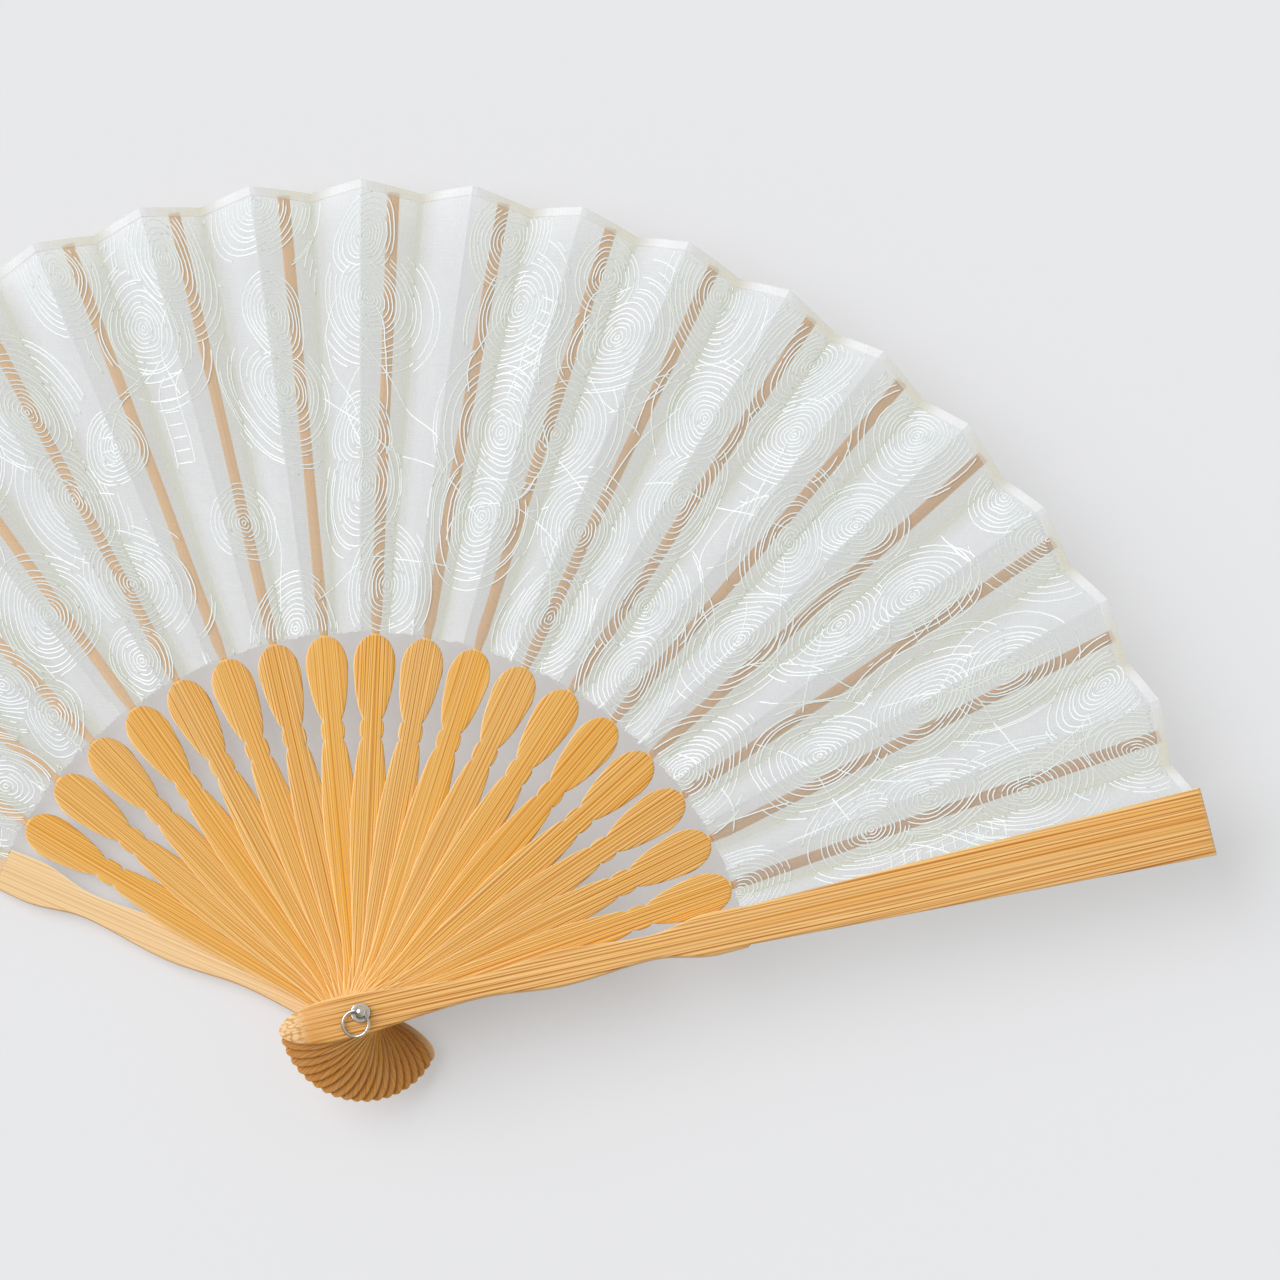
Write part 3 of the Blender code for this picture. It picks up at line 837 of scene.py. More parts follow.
strip_half_width = curve_through(
    [
        (STRIP_START, STRIP_ROOT_HALF_WIDTH),
        (STRIP_TWIST_END, STRIP_ROOT_HALF_WIDTH),
        (88 * MM, 1.25 * MM),
        (120 * MM, 1.22 * MM),
        (STRIP_END, 1.4 * MM),
    ]
)
strip_stations = (
    spread_between(STRIP_START, STRIP_TWIST_END, 6)
    + spread_between(STRIP_TWIST_END, STRIP_END, 24)
    + [STRIP_END]
)
strip_rows = stick_rows(1)


def strip_corner(column, row, side):
    x = strip_stations[column]
    y, drop = row_offset(strip_rows[row], strip_half_width(x), STRIP_EDGE)
    z = side * (STRIP_HALF_THICKNESS - drop * STRIP_EDGE)
    turn = PANEL_TILT * min((x - STRIP_START) / (STRIP_TWIST_END - STRIP_START), 1)
    return Matrix.Rotation(turn, 3, "X") @ Vector((x, y, z))


def drill(radius, depth, sides=32):
    """A cylinder that stands in the hole it cuts."""
    bm = bmesh.new()
    bmesh.ops.create_cone(
        bm, cap_ends=True, segments=sides, radius1=radius, radius2=radius, depth=depth
    )
    return mesh_of(bm, "drill")


strip = slab(len(strip_stations) - 1, len(strip_rows) - 1, strip_corner)
rib_blank = combined(
    "rib",
    mesh_of(rib_handle, "rib_handle"),
    ("UNION", mesh_of(strip, "strip")),
    ("DIFFERENCE", drill(HOLE_RADIUS, HOLE_DEPTH)),
)
lay_grain(rib_blank)
smoothed(rib_blank, BAMBOO_SHARP)


def mark_edge_highlight(mesh, half_width, edge, end):
    """Stores how far each point lies in the left edge or end that gets a painted highlight, from 0 to
    1.
    """
    values = []
    for x, y, z in corners(mesh):
        inset = min(half_width(x) - y, end - x)
        values.append(min(max(HIGHLIGHT_REACH - inset / edge, 0), 1) if x < end else 0)
    set_number(mesh, "painted_edge_highlight", values)


mark_edge_highlight(rib_blank, rib_half_width, RIB_EDGE, HEAD_END)
print("a whole rib has", len(rib_blank.polygons), "faces")

# %% [markdown]
# ## Eighteen ribs from one
#
# The ribs were all cut to one template, so they share a shape. What differs is the bamboo: each
# copy gets its own tone and veins. They come from a seeded random series, so every run gives the
# same fan. The veins grow stronger from the first rib to the last, and the strips darker.

# %% Set the ribs on the rivet
VEINED = (0.5, 0.95)
VEINED_TREND = 0.5

rib_series = random.Random(11)


def add_piece(name, mesh, body, slot, *nodes):
    """A finished piece on its body, in the place of the frame's nodes."""
    piece = add_object(name, mesh)
    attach(piece, body)
    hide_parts(*nodes)
    return piece


ribs = []
for k in range(1, RIB_COUNT + 1):
    mesh = rib_blank.copy()
    mesh.transform(stick_place(k))
    mesh.materials.append(rib_bamboo.material)
    set_number(mesh, "tone", rib_series.random())
    set_number(mesh, "veined", rib_series.uniform(*VEINED) + VEINED_TREND * k / RIB_COUNT)
    beyond_head = np.hypot(*corners(mesh)[:, :2].T) > HEAD_END
    set_number(mesh, "thin", beyond_head * (1 + (k / RIB_COUNT) ** 2))
    ribs.append(add_piece(f"bamboo_rib_{k:02d}", mesh, bodies[k], "bamboo_rib", bodies[k]))
print("ribs:", len(ribs))

# %% [markdown]
# ## The guards
#
# A guard is thicker and longer, with a swell where the heads end and a broad square tip. Its outer
# face keeps the roundness of the bamboo culm, and its butt is ground down in a slope. Its inner
# face is thinned beyond the heads, which leaves room for the folded leaf when the fan is closed.

# %% Cut a guard
GUARD_THICKNESS = 3.0 * MM
GUARD_RELIEF = 1.9 * MM
RELIEF_START = 86.2 * MM
RELIEF_STEP = 0.1 * MM
GUARD_LENGTH = 191.4 * MM
GUARD_EDGE = 0.5 * MM
GUARD_EDGE_DROP = 0.36 * MM
CULM_RADIUS = 60 * MM
SLOPE_START = -4.0 * MM
SLOPE_DEPTH = 1.7 * MM
SLOPE_BEND = 1.8
SLOPE_CROWN = 14 * MM
ARM_START = 86.5 * MM
ARM_HALF_WIDTH = 4.2 * MM
TIP_HALF_WIDTH = 7.7 * MM
GUARD_BUTT_HALF_WIDTH = 4.6 * MM
GUARD_BUTT_WIDEST_AT = -6.0 * MM
FACES_DOWN = -0.9

guard_handle = curve_through(
    [
        (GUARD_BUTT_WIDEST_AT, GUARD_BUTT_HALF_WIDTH),
        (0, 4.5 * MM),
        (13 * MM, 3.2 * MM),
        (26.5 * MM, 2.4 * MM),
        (45 * MM, 3.9 * MM),
        (65.2 * MM, 2.6 * MM),
        (79 * MM, 4.7 * MM),
        (ARM_START - RELIEF_STEP, 4.45 * MM),
    ]
)


def guard_half_width(x):
    if x < GUARD_BUTT_WIDEST_AT:
        share = (x - GUARD_BUTT_WIDEST_AT) / (BUTT_END_AT - GUARD_BUTT_WIDEST_AT)
        return max(round_end(share, 2.0) * GUARD_BUTT_HALF_WIDTH, END_HALF_WIDTH)
    if x < ARM_START:
        return guard_handle(x)
    share = (x - ARM_START) / (GUARD_LENGTH - ARM_START)
    return ARM_HALF_WIDTH + (TIP_HALF_WIDTH - ARM_HALF_WIDTH) * share


def guard_height(x, y, side, drop):
    if side < 0:
        return -GUARD_THICKNESS / 2 + (GUARD_RELIEF if x >= RELIEF_START else 0)
    slope = max((SLOPE_START - x) / (SLOPE_START - BUTT_END_AT), 0)
    ground = SLOPE_DEPTH * slope**SLOPE_BEND + slope * y * y / SLOPE_CROWN
    return GUARD_THICKNESS / 2 - y * y / (2 * CULM_RADIUS) - ground - drop * GUARD_EDGE_DROP


guard_stations = (
    spread_between(BUTT_END_AT, GUARD_BUTT_WIDEST_AT, 16, -1)
    + spread_between(GUARD_BUTT_WIDEST_AT, RELIEF_START - RELIEF_STEP, 44)
    + [RELIEF_START - RELIEF_STEP, RELIEF_START, ARM_START]
    + spread_between(ARM_START + 2 * MM, GUARD_LENGTH - 2 * GUARD_EDGE, 18)
    + [GUARD_LENGTH - 2 * GUARD_EDGE, GUARD_LENGTH - GUARD_EDGE / 2, GUARD_LENGTH]
)
guard_shape = stick_shape(guard_stations, guard_half_width, stick_rows(9), GUARD_EDGE, guard_height)
for face in guard_shape.faces:
    face.material_index = int(face.normal.z < FACES_DOWN)
guard_bar = mesh_of(guard_shape, "guard")
for finish in (guard_bamboo, inner_bamboo):
    guard_bar.materials.append(finish.material)
guard_blank = combined("guard", guard_bar, ("DIFFERENCE", drill(HOLE_RADIUS, HOLE_DEPTH)))
lay_grain(guard_blank)
smoothed(guard_blank, BAMBOO_SHARP)
mark_edge_highlight(guard_blank, guard_half_width, GUARD_EDGE, GUARD_LENGTH)
print("a guard has", len(guard_blank.polygons), "faces")

# %% Set the guards on the rivet
GUARD_VEINED = 1.05
OUTER_SIDE_DOWN = Matrix.Rotation(math.pi, 4, "X")
OUTER_SIDE_UP = Matrix.Identity(4)

for k, turn, tone in ((0, OUTER_SIDE_DOWN, 0.35), (RIB_COUNT + 1, OUTER_SIDE_UP, 0.6)):
    mesh = guard_blank.copy()
    mesh.transform(stick_place(k) @ turn)
    set_number(mesh, "tone", tone)
    set_number(mesh, "veined", GUARD_VEINED)
    add_piece("bamboo_" + bodies[k], mesh, bodies[k], "bamboo_guard", bodies[k])
print("guards:", bodies[0], bodies[-1])

# %% [markdown]
# ## How the leaf is folded
#
# The leaf is one cloth, pressed into mountain and valley creases. Each rib's strip is glued in the
# middle of a slanted panel, and a free fold joins it to the next. A pleat here is one panel and
# the fold after it. It is described by its creases: the angle of each from the pleat's stick, how
# far it follows the next stick when the fan closes, how far the leaf reaches there, and its height
# at each distance from the rivet.

# %% Describe the creases
LEAF_INNER_RADIUS = 86.5 * MM
LEAF_PEAK_RADIUS = 189.7 * MM
LEAF_VALLEY_RADIUS = 187.6 * MM
LEAF_FLAP_RADIUS = 190.6 * MM
PEAK_ANGLE = math.radians(2.25)
VALLEY_ANGLE = math.radians(1.9)
FLAP_ANGLE = math.radians(1.9)
CLOTH_HALF_THICKNESS = 0.075 * MM
CLOTH_GAP = 0.05 * MM
CLOTH_RISE = (STRIP_HALF_THICKNESS + CLOTH_GAP + CLOTH_HALF_THICKNESS) / math.cos(PANEL_TILT)
FLAP_HEIGHT = GUARD_THICKNESS / 2 - GUARD_RELIEF + CLOTH_GAP + CLOTH_HALF_THICKNESS
FOLD_SAG = 0.12 * MM

Crease = namedtuple("Crease", "angle follow reach height")


def panel_height(angle):
    """Height of a tilted panel over its rib, as a function of the distance from the rivet."""
    return lambda radius: radius * math.sin(angle) * math.tan(PANEL_TILT) + CLOTH_RISE


def flap_creases(middle, follow, height):
    """The two edges of the leaf's end, which lies flat on a guard."""
    flap = (follow, LEAF_FLAP_RADIUS, lambda radius: height)
    return [Crease(middle + FLAP_ANGLE, *flap), Crease(middle - FLAP_ANGLE, *flap)]


def pleat_creases(k):
    """The creases of pleat k, which starts on stick k."""
    step = angles[k] - angles[k + 1]
    rise = levels[k + 1] - levels[k]
    next_panel = panel_height(PEAK_ANGLE)
    peak = Crease(PEAK_ANGLE - step, 1, LEAF_PEAK_RADIUS, lambda radius: rise + next_panel(radius))
    if k == 0:
        return flap_creases(0, 0, FLAP_HEIGHT) + [peak]
    start = Crease(PEAK_ANGLE, 0, LEAF_PEAK_RADIUS, panel_height(PEAK_ANGLE))
    valley = Crease(-VALLEY_ANGLE, 0, LEAF_VALLEY_RADIUS, panel_height(-VALLEY_ANGLE))
    if k == RIB_COUNT:
        return [start, valley] + flap_creases(-step, 1, rise - FLAP_HEIGHT)
    return [start, valley, peak]


pleats = [pleat_creases(k) for k in range(RIB_COUNT + 1)]


def stretch_at(creases, angle):
    """The two creases that an angle lies between, and its share of the way."""
    i = 0
    while i < len(creases) - 2 and angle < creases[i + 1].angle:
        i += 1
    first, second = creases[i], creases[i + 1]
    share = (first.angle - angle) / (first.angle - second.angle)
    return first, second, min(max(share, 0), 1)


def leaf_height(creases, radius, angle):
    """Height of the middle of the cloth over the pleat's stick."""
    first, second, share = stretch_at(creases, angle)
    height = first.height(radius) * (1 - share) + second.height(radius) * share
    free = second.follow - first.follow
    return height - free * FOLD_SAG * math.sin(math.pi * share)


def follow(creases, angle):
    """How far a point of the cloth follows the next stick, from 0 to 1."""
    first, second, share = stretch_at(creases, angle)
    return first.follow * (1 - share) + second.follow * share


def reach_at(creases, angle):
    """How far from the rivet the leaf reaches at an angle."""
    first, second, share = stretch_at(creases, angle)
    return first.reach * (1 - share) + second.reach * share


print("pleats:", len(pleats), "with", sum(len(creases) - 1 for creases in pleats), "stretches")

# %% [markdown]
# A pressed crease in silk is crisp on the mountain and soft in the valley: the fold leaves the
# valley at a low slope and steepens. A slab bent that far would cut through its neighbours when the
# fan shuts, so the slab stays nearly straight and the finish gets the rest of the bow as a bump.

# %% Soften the creases
CREASE_TURN = 0.62
SOFT_SHARE = 0.8
PEAK_ROUND = 1.7 * MM
GLUE_SHADE_START = math.radians(2.0)
GLUE_SHADE_FULL = math.radians(-0.6)
GLUE_SHADE_REACH = 0.35
PRESSED_REACH = 1.5 * MM
STRIP_SEEN = STRIP_ROOT_HALF_WIDTH * 1.6


def is_fold(creases, angle):
    first, second, share = stretch_at(creases, angle)
    return first.follow != second.follow


def bow(creases, radius, angle):
    """Height of the softly creased cloth over the straight one, as the bump shows it."""
    first, second, share = stretch_at(creases, angle)
    width = radius * (first.angle - second.angle)
    x = share * width
    if is_fold(creases, angle):
        soft = SOFT_SHARE * width
        rise = CREASE_TURN * SOFT_SHARE / (2 - SOFT_SHARE)
        if x < soft:
            return (CREASE_TURN + rise) * x * x / (2 * soft) - CREASE_TURN * x
        return rise * (x - width)
    if first.angle == PEAK_ANGLE and x < PEAK_ROUND:
        return -CREASE_TURN * (PEAK_ROUND - x) ** 2 / (2 * PEAK_ROUND)
    return 0


def glue_and_shade(creases, angle):
    """How much glue the cloth holds and how much painted shade it gets: from the strip to the panel's
    valley, and less on the fold.
    """
    first, second, share = stretch_at(creases, angle)
    if is_fold(creases, angle):
        return max(1 - share / GLUE_SHADE_REACH, 0)
    return min(max((GLUE_SHADE_START - angle) / (GLUE_SHADE_START - GLUE_SHADE_FULL), 0), 1)


def pressed(creases, radius, angle):
    """1 on the pleat's valley, falling to 0 beside it."""
    return max(1 - radius * abs(angle - creases[1].angle) / PRESSED_REACH, 0)


def painted_thread_shade(creases, radius, angle):
    """How much painted shade dulls a thread: all over the panel, which slants away from the lamp, but
    not over the dark strip, where it shows pale, nor on the fold.
    """
    return 0 if is_fold(creases, angle) or abs(radius * angle) < STRIP_SEEN else 1


def seen_from(mesh, k):
    """(radius, angle from stick k) of every point of a mesh."""
    points = corners(mesh)
    angles_seen = np.arctan2(points[:, 1], points[:, 0]) - angles[k]
    return list(zip(np.hypot(points[:, 0], points[:, 1]), angles_seen))


def mark_cloth(mesh, k, creases):
    """Stores the cloth's numbers on the points of a mesh that lies on pleat k."""
    seen = seen_from(mesh, k)
    set_number(mesh, "bow", [bow(creases, radius, angle) / MM for radius, angle in seen])
    set_number(mesh, "glue_and_shade", [glue_and_shade(creases, angle) for radius, angle in seen])
    set_number(mesh, "pressed", [pressed(creases, radius, angle) for radius, angle in seen])


print("a fold bows", round(-bow(pleats[1], 0.14, -math.radians(3.6)) / MM, 2), "mm at its middle")

# %% [markdown]
# ## The pleated cloth
#
# A pleat is a slab in polar coordinates. Its rows run along the sticks and end in a ragged inner
# edge, where the cut cloth frays. The last columns lie in the tape that binds the outer edge, so
# they are thicker and have the tape's finish. Each pleat's place is baked into its mesh, and for
# each point the share by which it would follow the next stick is worked out; it grows evenly with
# the angle.

# %% Fold the cloth
CLOTH_COLUMNS = 30
TAPE_COLUMNS = 4
ROWS_PER_STRETCH = 12
TAPE_WIDTH = 2.1 * MM
TAPE_STEP = 0.06 * MM
TAPE_TOP = 0.2 * MM
TAPE_UNDER = 0.11 * MM
TAPE_LIP = 0.6
FRAY_DEPTH = 0.25 * MM
CLOTH_SHARP = 22

cloth_series = random.Random(23)


def pleat_rows(creases):
    """The angles of a pleat's lengthwise rows, with a row on every crease."""
    found = [creases[0].angle]
    for first, second in zip(creases, creases[1:]):
        width = second.angle - first.angle
        for i in range(1, ROWS_PER_STRETCH + 1):
            found.append(first.angle + width * i / ROWS_PER_STRETCH)
    return found


def pleat_shape(creases):
    rows = pleat_rows(creases)
    ragged = [cloth_series.uniform(-1, 1) * FRAY_DEPTH for row in rows]

    def corner(column, row, side):
        angle = rows[row]
        inner = LEAF_INNER_RADIUS + ragged[row]
        cloth_end = reach_at(creases, angle) - TAPE_WIDTH
        if column <= CLOTH_COLUMNS:
            radius = inner + (cloth_end - inner) * column / CLOTH_COLUMNS
            thickness = CLOTH_HALF_THICKNESS
        else:
            share_out = (column - CLOTH_COLUMNS - 1) / (TAPE_COLUMNS - 1)
            radius = cloth_end + TAPE_STEP + (TAPE_WIDTH - TAPE_STEP) * share_out
            thickness = TAPE_TOP if side > 0 else TAPE_UNDER
            thickness *= TAPE_LIP if share_out == 1 else 1
        height = leaf_height(creases, radius, angle) + side * thickness
        return Vector((radius * math.cos(angle), radius * math.sin(angle), height))

    bm = slab(CLOTH_COLUMNS + TAPE_COLUMNS, len(rows) - 1, corner)
    for face in bm.faces:
        middle = face.calc_center_median()
        cloth_end = reach_at(creases, math.atan2(middle.y, middle.x)) - TAPE_WIDTH
        face.material_index = int(math.hypot(middle.x, middle.y) > cloth_end)
    return bm


def fold_between(piece, k, creases):
    """Bakes the piece's place into its mesh, and works out how far each point would follow the next
    stick.
    """
    bodies[k + 1]
    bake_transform(piece)
    weights = [follow(creases, angle) for radius, angle in seen_from(piece.data, k)]


def pleat_nodes(k):
    """The frame's nodes that pleat k stands for."""
    return [f"leaf_panel_{k:02d}"] * (k > 0) + [f"leaf_fold_{k + 1:02d}"]


cloths = []
for k, creases in enumerate(pleats):
    mesh = mesh_of(pleat_shape(creases), "pleat")
    mesh.transform(stick_place(k))
    mark_cloth(mesh, k, creases)
    lay_grain(mesh)
    smoothed(mesh, CLOTH_SHARP)
    for finish in (leaf_organza, edge_tape):
        mesh.materials.append(finish.material)
    cloth = add_object(f"leaf_pleat_{k:02d}", mesh)
    fold_between(cloth, k, creases)
    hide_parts(*pleat_nodes(k))
    cloths.append(cloth)
print("pleats:", len(cloths), "of", len(cloths[1].data.polygons), "faces")

# %% [markdown]
# ## Rings of stitching
#
# The cloth is embroidered with silk: ovals inside ovals, a little uneven, as growth rings are in
# wood. Where two sets meet, each stops at the other. A set has a centre on the open leaf, a long
# axis, a turn and a number of rings, with distances in millimetres. Each ring is walked point by
# point, and a point is kept only where no neighbouring set has a clearly smaller ring.

# %% Lay out the rings
RING_ROWS = (93.0, 114.0, 137.0, 160.0, 181.0)
RING_SPACING = 24.6
ROW_SHIFT = 6
PLACE_SHIFT = 0.3
LONG_AXIS = (1.3, 1.8)
MOST_TURN = 0.4
RING_COUNTS = (9, 12, 14, 16, 17)
FULL_RINGS = 11
SHORTEST_SWEEP = 2.4
FIRST_RING = 0.6
RING_GAP = 0.62
RING_GAP_GROWTH = 0.017
RING_GAP_SPREAD = (0.96, 1.04)
OVAL_WAVE = 0.06
EGG_WAVE = 0.045
STAR_WAVE = 0.1
UNEVEN = 0.05
OVAL_LENGTH = 1.2
POINT_SPACING = 0.75
FEWEST_POINTS = 14
OVERLAP = (0.7, 1.0)
NEIGHBOUR_OUT = 45
NEIGHBOUR_ASIDE = 40

ring_series = random.Random(5)


def jitter(most):
    """A random number, at most so far from 0 either way."""
    return ring_series.uniform(-most, most)


def ring_sets():
    """The ring sets over the leaf, as dictionaries."""
    found = []
    for radius in RING_ROWS:
        count = round(radius * SPREAD / RING_SPACING)
        for i in range(count):
            found.append(
                {
                    "radius": radius + jitter(ROW_SHIFT),
                    "angle": BACK_ANGLE - SPREAD * (i + 0.5 + jitter(PLACE_SHIFT)) / count,
                    "long": ring_series.uniform(*LONG_AXIS),
                    "turn": jitter(MOST_TURN),
                    "phases": [ring_series.uniform(0, math.tau) for wave in range(3)],
                    "rings": ring_series.choice(RING_COUNTS),
                }
            )
    return found


sets = ring_sets()


def offset_from(ring_set, radius, angle):
    """Along and across a set's own axes, in mm, its long axis first."""
    out = radius - ring_set["radius"]
    side = radius * (angle - ring_set["angle"])
    cos, sin = math.cos(ring_set["turn"]), math.sin(ring_set["turn"])
    return out * cos + side * sin, side * cos - out * sin


def size_at(ring_set, radius, angle):
    """The size of the ring of this set that passes through a point."""
    along, across = offset_from(ring_set, radius, angle)
    return math.hypot(along / ring_set["long"], across)


def ring_point(ring_set, size, turn):
    """A point of one ring, uneven by three slow waves."""
    first, second, third = ring_set["phases"]
    uneven = 1 + OVAL_WAVE * math.sin(2 * turn + first) + EGG_WAVE * math.sin(3 * turn + second)
    uneven += STAR_WAVE / (1 + size) * math.sin(5 * turn + third + size)
    along = size * uneven * ring_set["long"] * math.cos(turn) + jitter(UNEVEN)
    across = size * uneven * math.sin(turn) + jitter(UNEVEN)
    cos, sin = math.cos(ring_set["turn"]), math.sin(ring_set["turn"])
    radius = ring_set["radius"] + along * cos - across * sin
    return radius, ring_set["angle"] + (along * sin + across * cos) / radius


def walk_ring(ring_set, neighbours, size, start, sweep):
    """The kept stretches of one ring, each a list of (radius, angle)."""
    count = max(FEWEST_POINTS, round(size * sweep * OVAL_LENGTH / POINT_SPACING))
    overlap = ring_series.uniform(*OVERLAP)
    stretches, current = [], []
    for i in range(count + 1):
        radius, angle = ring_point(ring_set, size, start + sweep * i / count)
        own = size_at(ring_set, radius, angle)
        if all(size_at(other, radius, angle) > own * overlap for other in neighbours):
            current.append((radius, angle))
        elif current:
            stretches.append(current)
            current = []
    stretches.append(current)
    return [stretch for stretch in stretches if len(stretch) > 2]


def is_neighbour(ring_set, other):
    out = abs(other["radius"] - ring_set["radius"])
    aside = abs(other["angle"] - ring_set["angle"]) * ring_set["radius"]
    return other is not ring_set and out < NEIGHBOUR_OUT and aside < NEIGHBOUR_ASIDE


threads = []
for ring_set in sets:
    neighbours = [other for other in sets if is_neighbour(ring_set, other)]
    for number in range(ring_set["rings"]):
        gap = RING_GAP + RING_GAP_GROWTH * number
        size = (number + FIRST_RING) * gap * ring_series.uniform(*RING_GAP_SPREAD)
        start = ring_series.uniform(0, math.tau)
        sweep = math.tau
        if number >= FULL_RINGS:
            sweep = ring_series.uniform(SHORTEST_SWEEP, math.tau)
        threads += walk_ring(ring_set, neighbours, size, start, sweep)
print("ring sets:", len(sets), "threads:", len(threads), "points:", sum(map(len, threads)))

# %% [markdown]
# ## Loose strands
#
# Between the rings wander long strands that cross the pleats at a slant. Some run in pairs with
# rungs between them, like a ladder. At the inner edge of the cloth a few cut ends hang out, beside
# its creases, where they stay clear of the ribs' heads when the fan is closed.

# %% Add the strands and the frayed ends
STRANDS = 52
STRAND_LENGTH = (18, 50)
HEADINGS = (0, 0.3, -0.3, 0.9, -0.9)
BEND_KEPT = 0.85
BEND_ADDED = 0.05
LADDERS = 9
LADDER_LENGTH = (16, 34)
LADDER_WIDTH = (2.4, 4.2)
LADDER_UNEVEN = 0.1
RUNG_GAP = 3.3
STARTS = (87.0, 167.0)


def wander(radius, angle, heading, length):
    """A thread that changes its way slowly, a list of (radius, angle)."""
    line, bend = [(radius, angle)], 0
    for i in range(round(length / POINT_SPACING)):
        bend = BEND_KEPT * bend + jitter(BEND_ADDED)
        heading += bend
        radius += POINT_SPACING * math.cos(heading)
        angle += POINT_SPACING * math.sin(heading) / radius
        line.append((radius, angle))
    return line


def random_start():
    return ring_series.uniform(*STARTS), BACK_ANGLE - SPREAD * ring_series.random()


def straight(first, second):
    """A thread from one (radius, angle) to another."""
    (radius, angle), out, turn = first, second[0] - first[0], second[1] - first[1]
    steps = max(2, round(math.hypot(out, radius * turn) / POINT_SPACING))
    return [(radius + out * i / steps, angle + turn * i / steps) for i in range(steps + 1)]


def ladder():
    """Two strands side by side along the sticks, and the rungs between them."""
    radius, angle = random_start()
    left = wander(radius, angle, 0, ring_series.uniform(*LADDER_LENGTH))
    width = ring_series.uniform(*LADDER_WIDTH)
    right = [(out + jitter(LADDER_UNEVEN), turn + width / out) for out, turn in left]
    every = round(RUNG_GAP / POINT_SPACING)
    rungs = [straight(first, second) for first, second in zip(left[1::every], right[2::every])]
    return [left, right] + rungs


for i in range(STRANDS):
    heading = ring_series.choice(HEADINGS)
    threads.append(wander(*random_start(), heading, ring_series.uniform(*STRAND_LENGTH)))
for i in range(LADDERS):
    threads += ladder()

FRAYS_PER_PLEAT = 3
FRAY_PLACES = ((-5.3, -5.0), (-1.95, -1.8), (1.9, 2.2))
FRAY_START = 88.5
FRAY_START_SPREAD = (-1, 3)
FRAY_END = 86.0
FRAY_END_SPREAD = (-0.6, 0.5)
FRAY_TURN = 0.15
FRAY_LIMIT = FRAY_END - 2


def fray(angle):
    """A cut thread end that leaves the cloth's inner edge."""
    start = FRAY_START + ring_series.uniform(*FRAY_START_SPREAD)
    length = start - FRAY_END + ring_series.uniform(*FRAY_END_SPREAD)
    return wander(start, angle, math.pi + jitter(FRAY_TURN), length)


frays = []
for k in range(len(pleats)):
    for i in range(FRAYS_PER_PLEAT):
        place = ring_series.choice(FRAY_PLACES)
        frays.append(fray(angles[k] + math.radians(ring_series.uniform(*place))))
print("threads:", len(threads), "and", len(frays), "frayed ends")

# %% [markdown]
# ## Sewing the threads to the pleats
#
# A thread that crosses a crease has to bend with the cloth, so each thread is cut at the creases,
# and every stretch goes to the pleat that it lies on. A pleat's stretches become one curve with a
# flat bevel, and it is made a mesh.

# %% Sew the threads
THREAD_HALF_WIDTH = 0.14 * MM
THREAD_HALF_THICKNESS = 0.035 * MM
THREAD_RISE = 0.1 * MM
THREAD_TIP = 0.2
THREAD_SHARP = 100
LEAF_TOP_ANGLE = BACK_ANGLE + FLAP_ANGLE

thread_section = bpy.data.curves.new("thread_section", "CURVE")
section_line = thread_section.splines.new("POLY")
section_line.points.add(3)
section_line.use_cyclic_u = True
for point, x, y in zip(section_line.points, (-1, 0, 1, 0), (0, 1, 0, -1)):
    point.co = (x * THREAD_HALF_WIDTH, y * THREAD_HALF_THICKNESS, 0, 1)
section_guide = add_object("thread_section", thread_section)


def stretch_number(angle):
    """(pleat, stretch in it) at an angle over the open leaf, or None beyond the leaf."""
    if angle > LEAF_TOP_ANGLE:
        return None
    for k, creases in enumerate(pleats):
        seen = angle - angles[k]
        if seen >= creases[-1].angle:
            for i, crease in enumerate(creases[1:]):
                if seen >= crease.angle:
                    return k, i
    return None


def shared_crease(first, second):
    """The angle over the open leaf of the crease between two neighbouring stretches."""
    k, i = min(first, second)
    return pleats[k][i + 1].angle + angles[k]


def cloth_end_at(k, angle):
    """Where the tape starts on pleat k, in mm from the rivet."""
    return (reach_at(pleats[k], angle - angles[k]) - TAPE_WIDTH) / MM


def sorted_by_pleat(lines, inner):
    """Cuts the threads at the creases and at the cloth's edges, into one list for each pleat."""
    found = [[] for creases in pleats]
    for line in lines:
        current, last, before = [], None, None
        for radius, angle in line:
            spot = stretch_number(angle)
            if spot is not None and not inner <= radius <= cloth_end_at(spot[0], angle):
                spot = None
            if spot != last:
                if last is not None and spot is not None:
                    crease = shared_crease(last, spot)
                    share = (crease - before[1]) / (angle - before[1])
                    cut = (before[0] + (radius - before[0]) * share, crease)
                    found[last[0]].append(current + [cut])
                    current = [cut]
                elif last is not None:
                    found[last[0]].append(current)
                    current = []
            if spot is not None:
                current.append((radius, angle))
            last, before = spot, (radius, angle)
        if last is not None:
            found[last[0]].append(current)
    return [[line for line in lines if len(line) > 1] for lines in found]


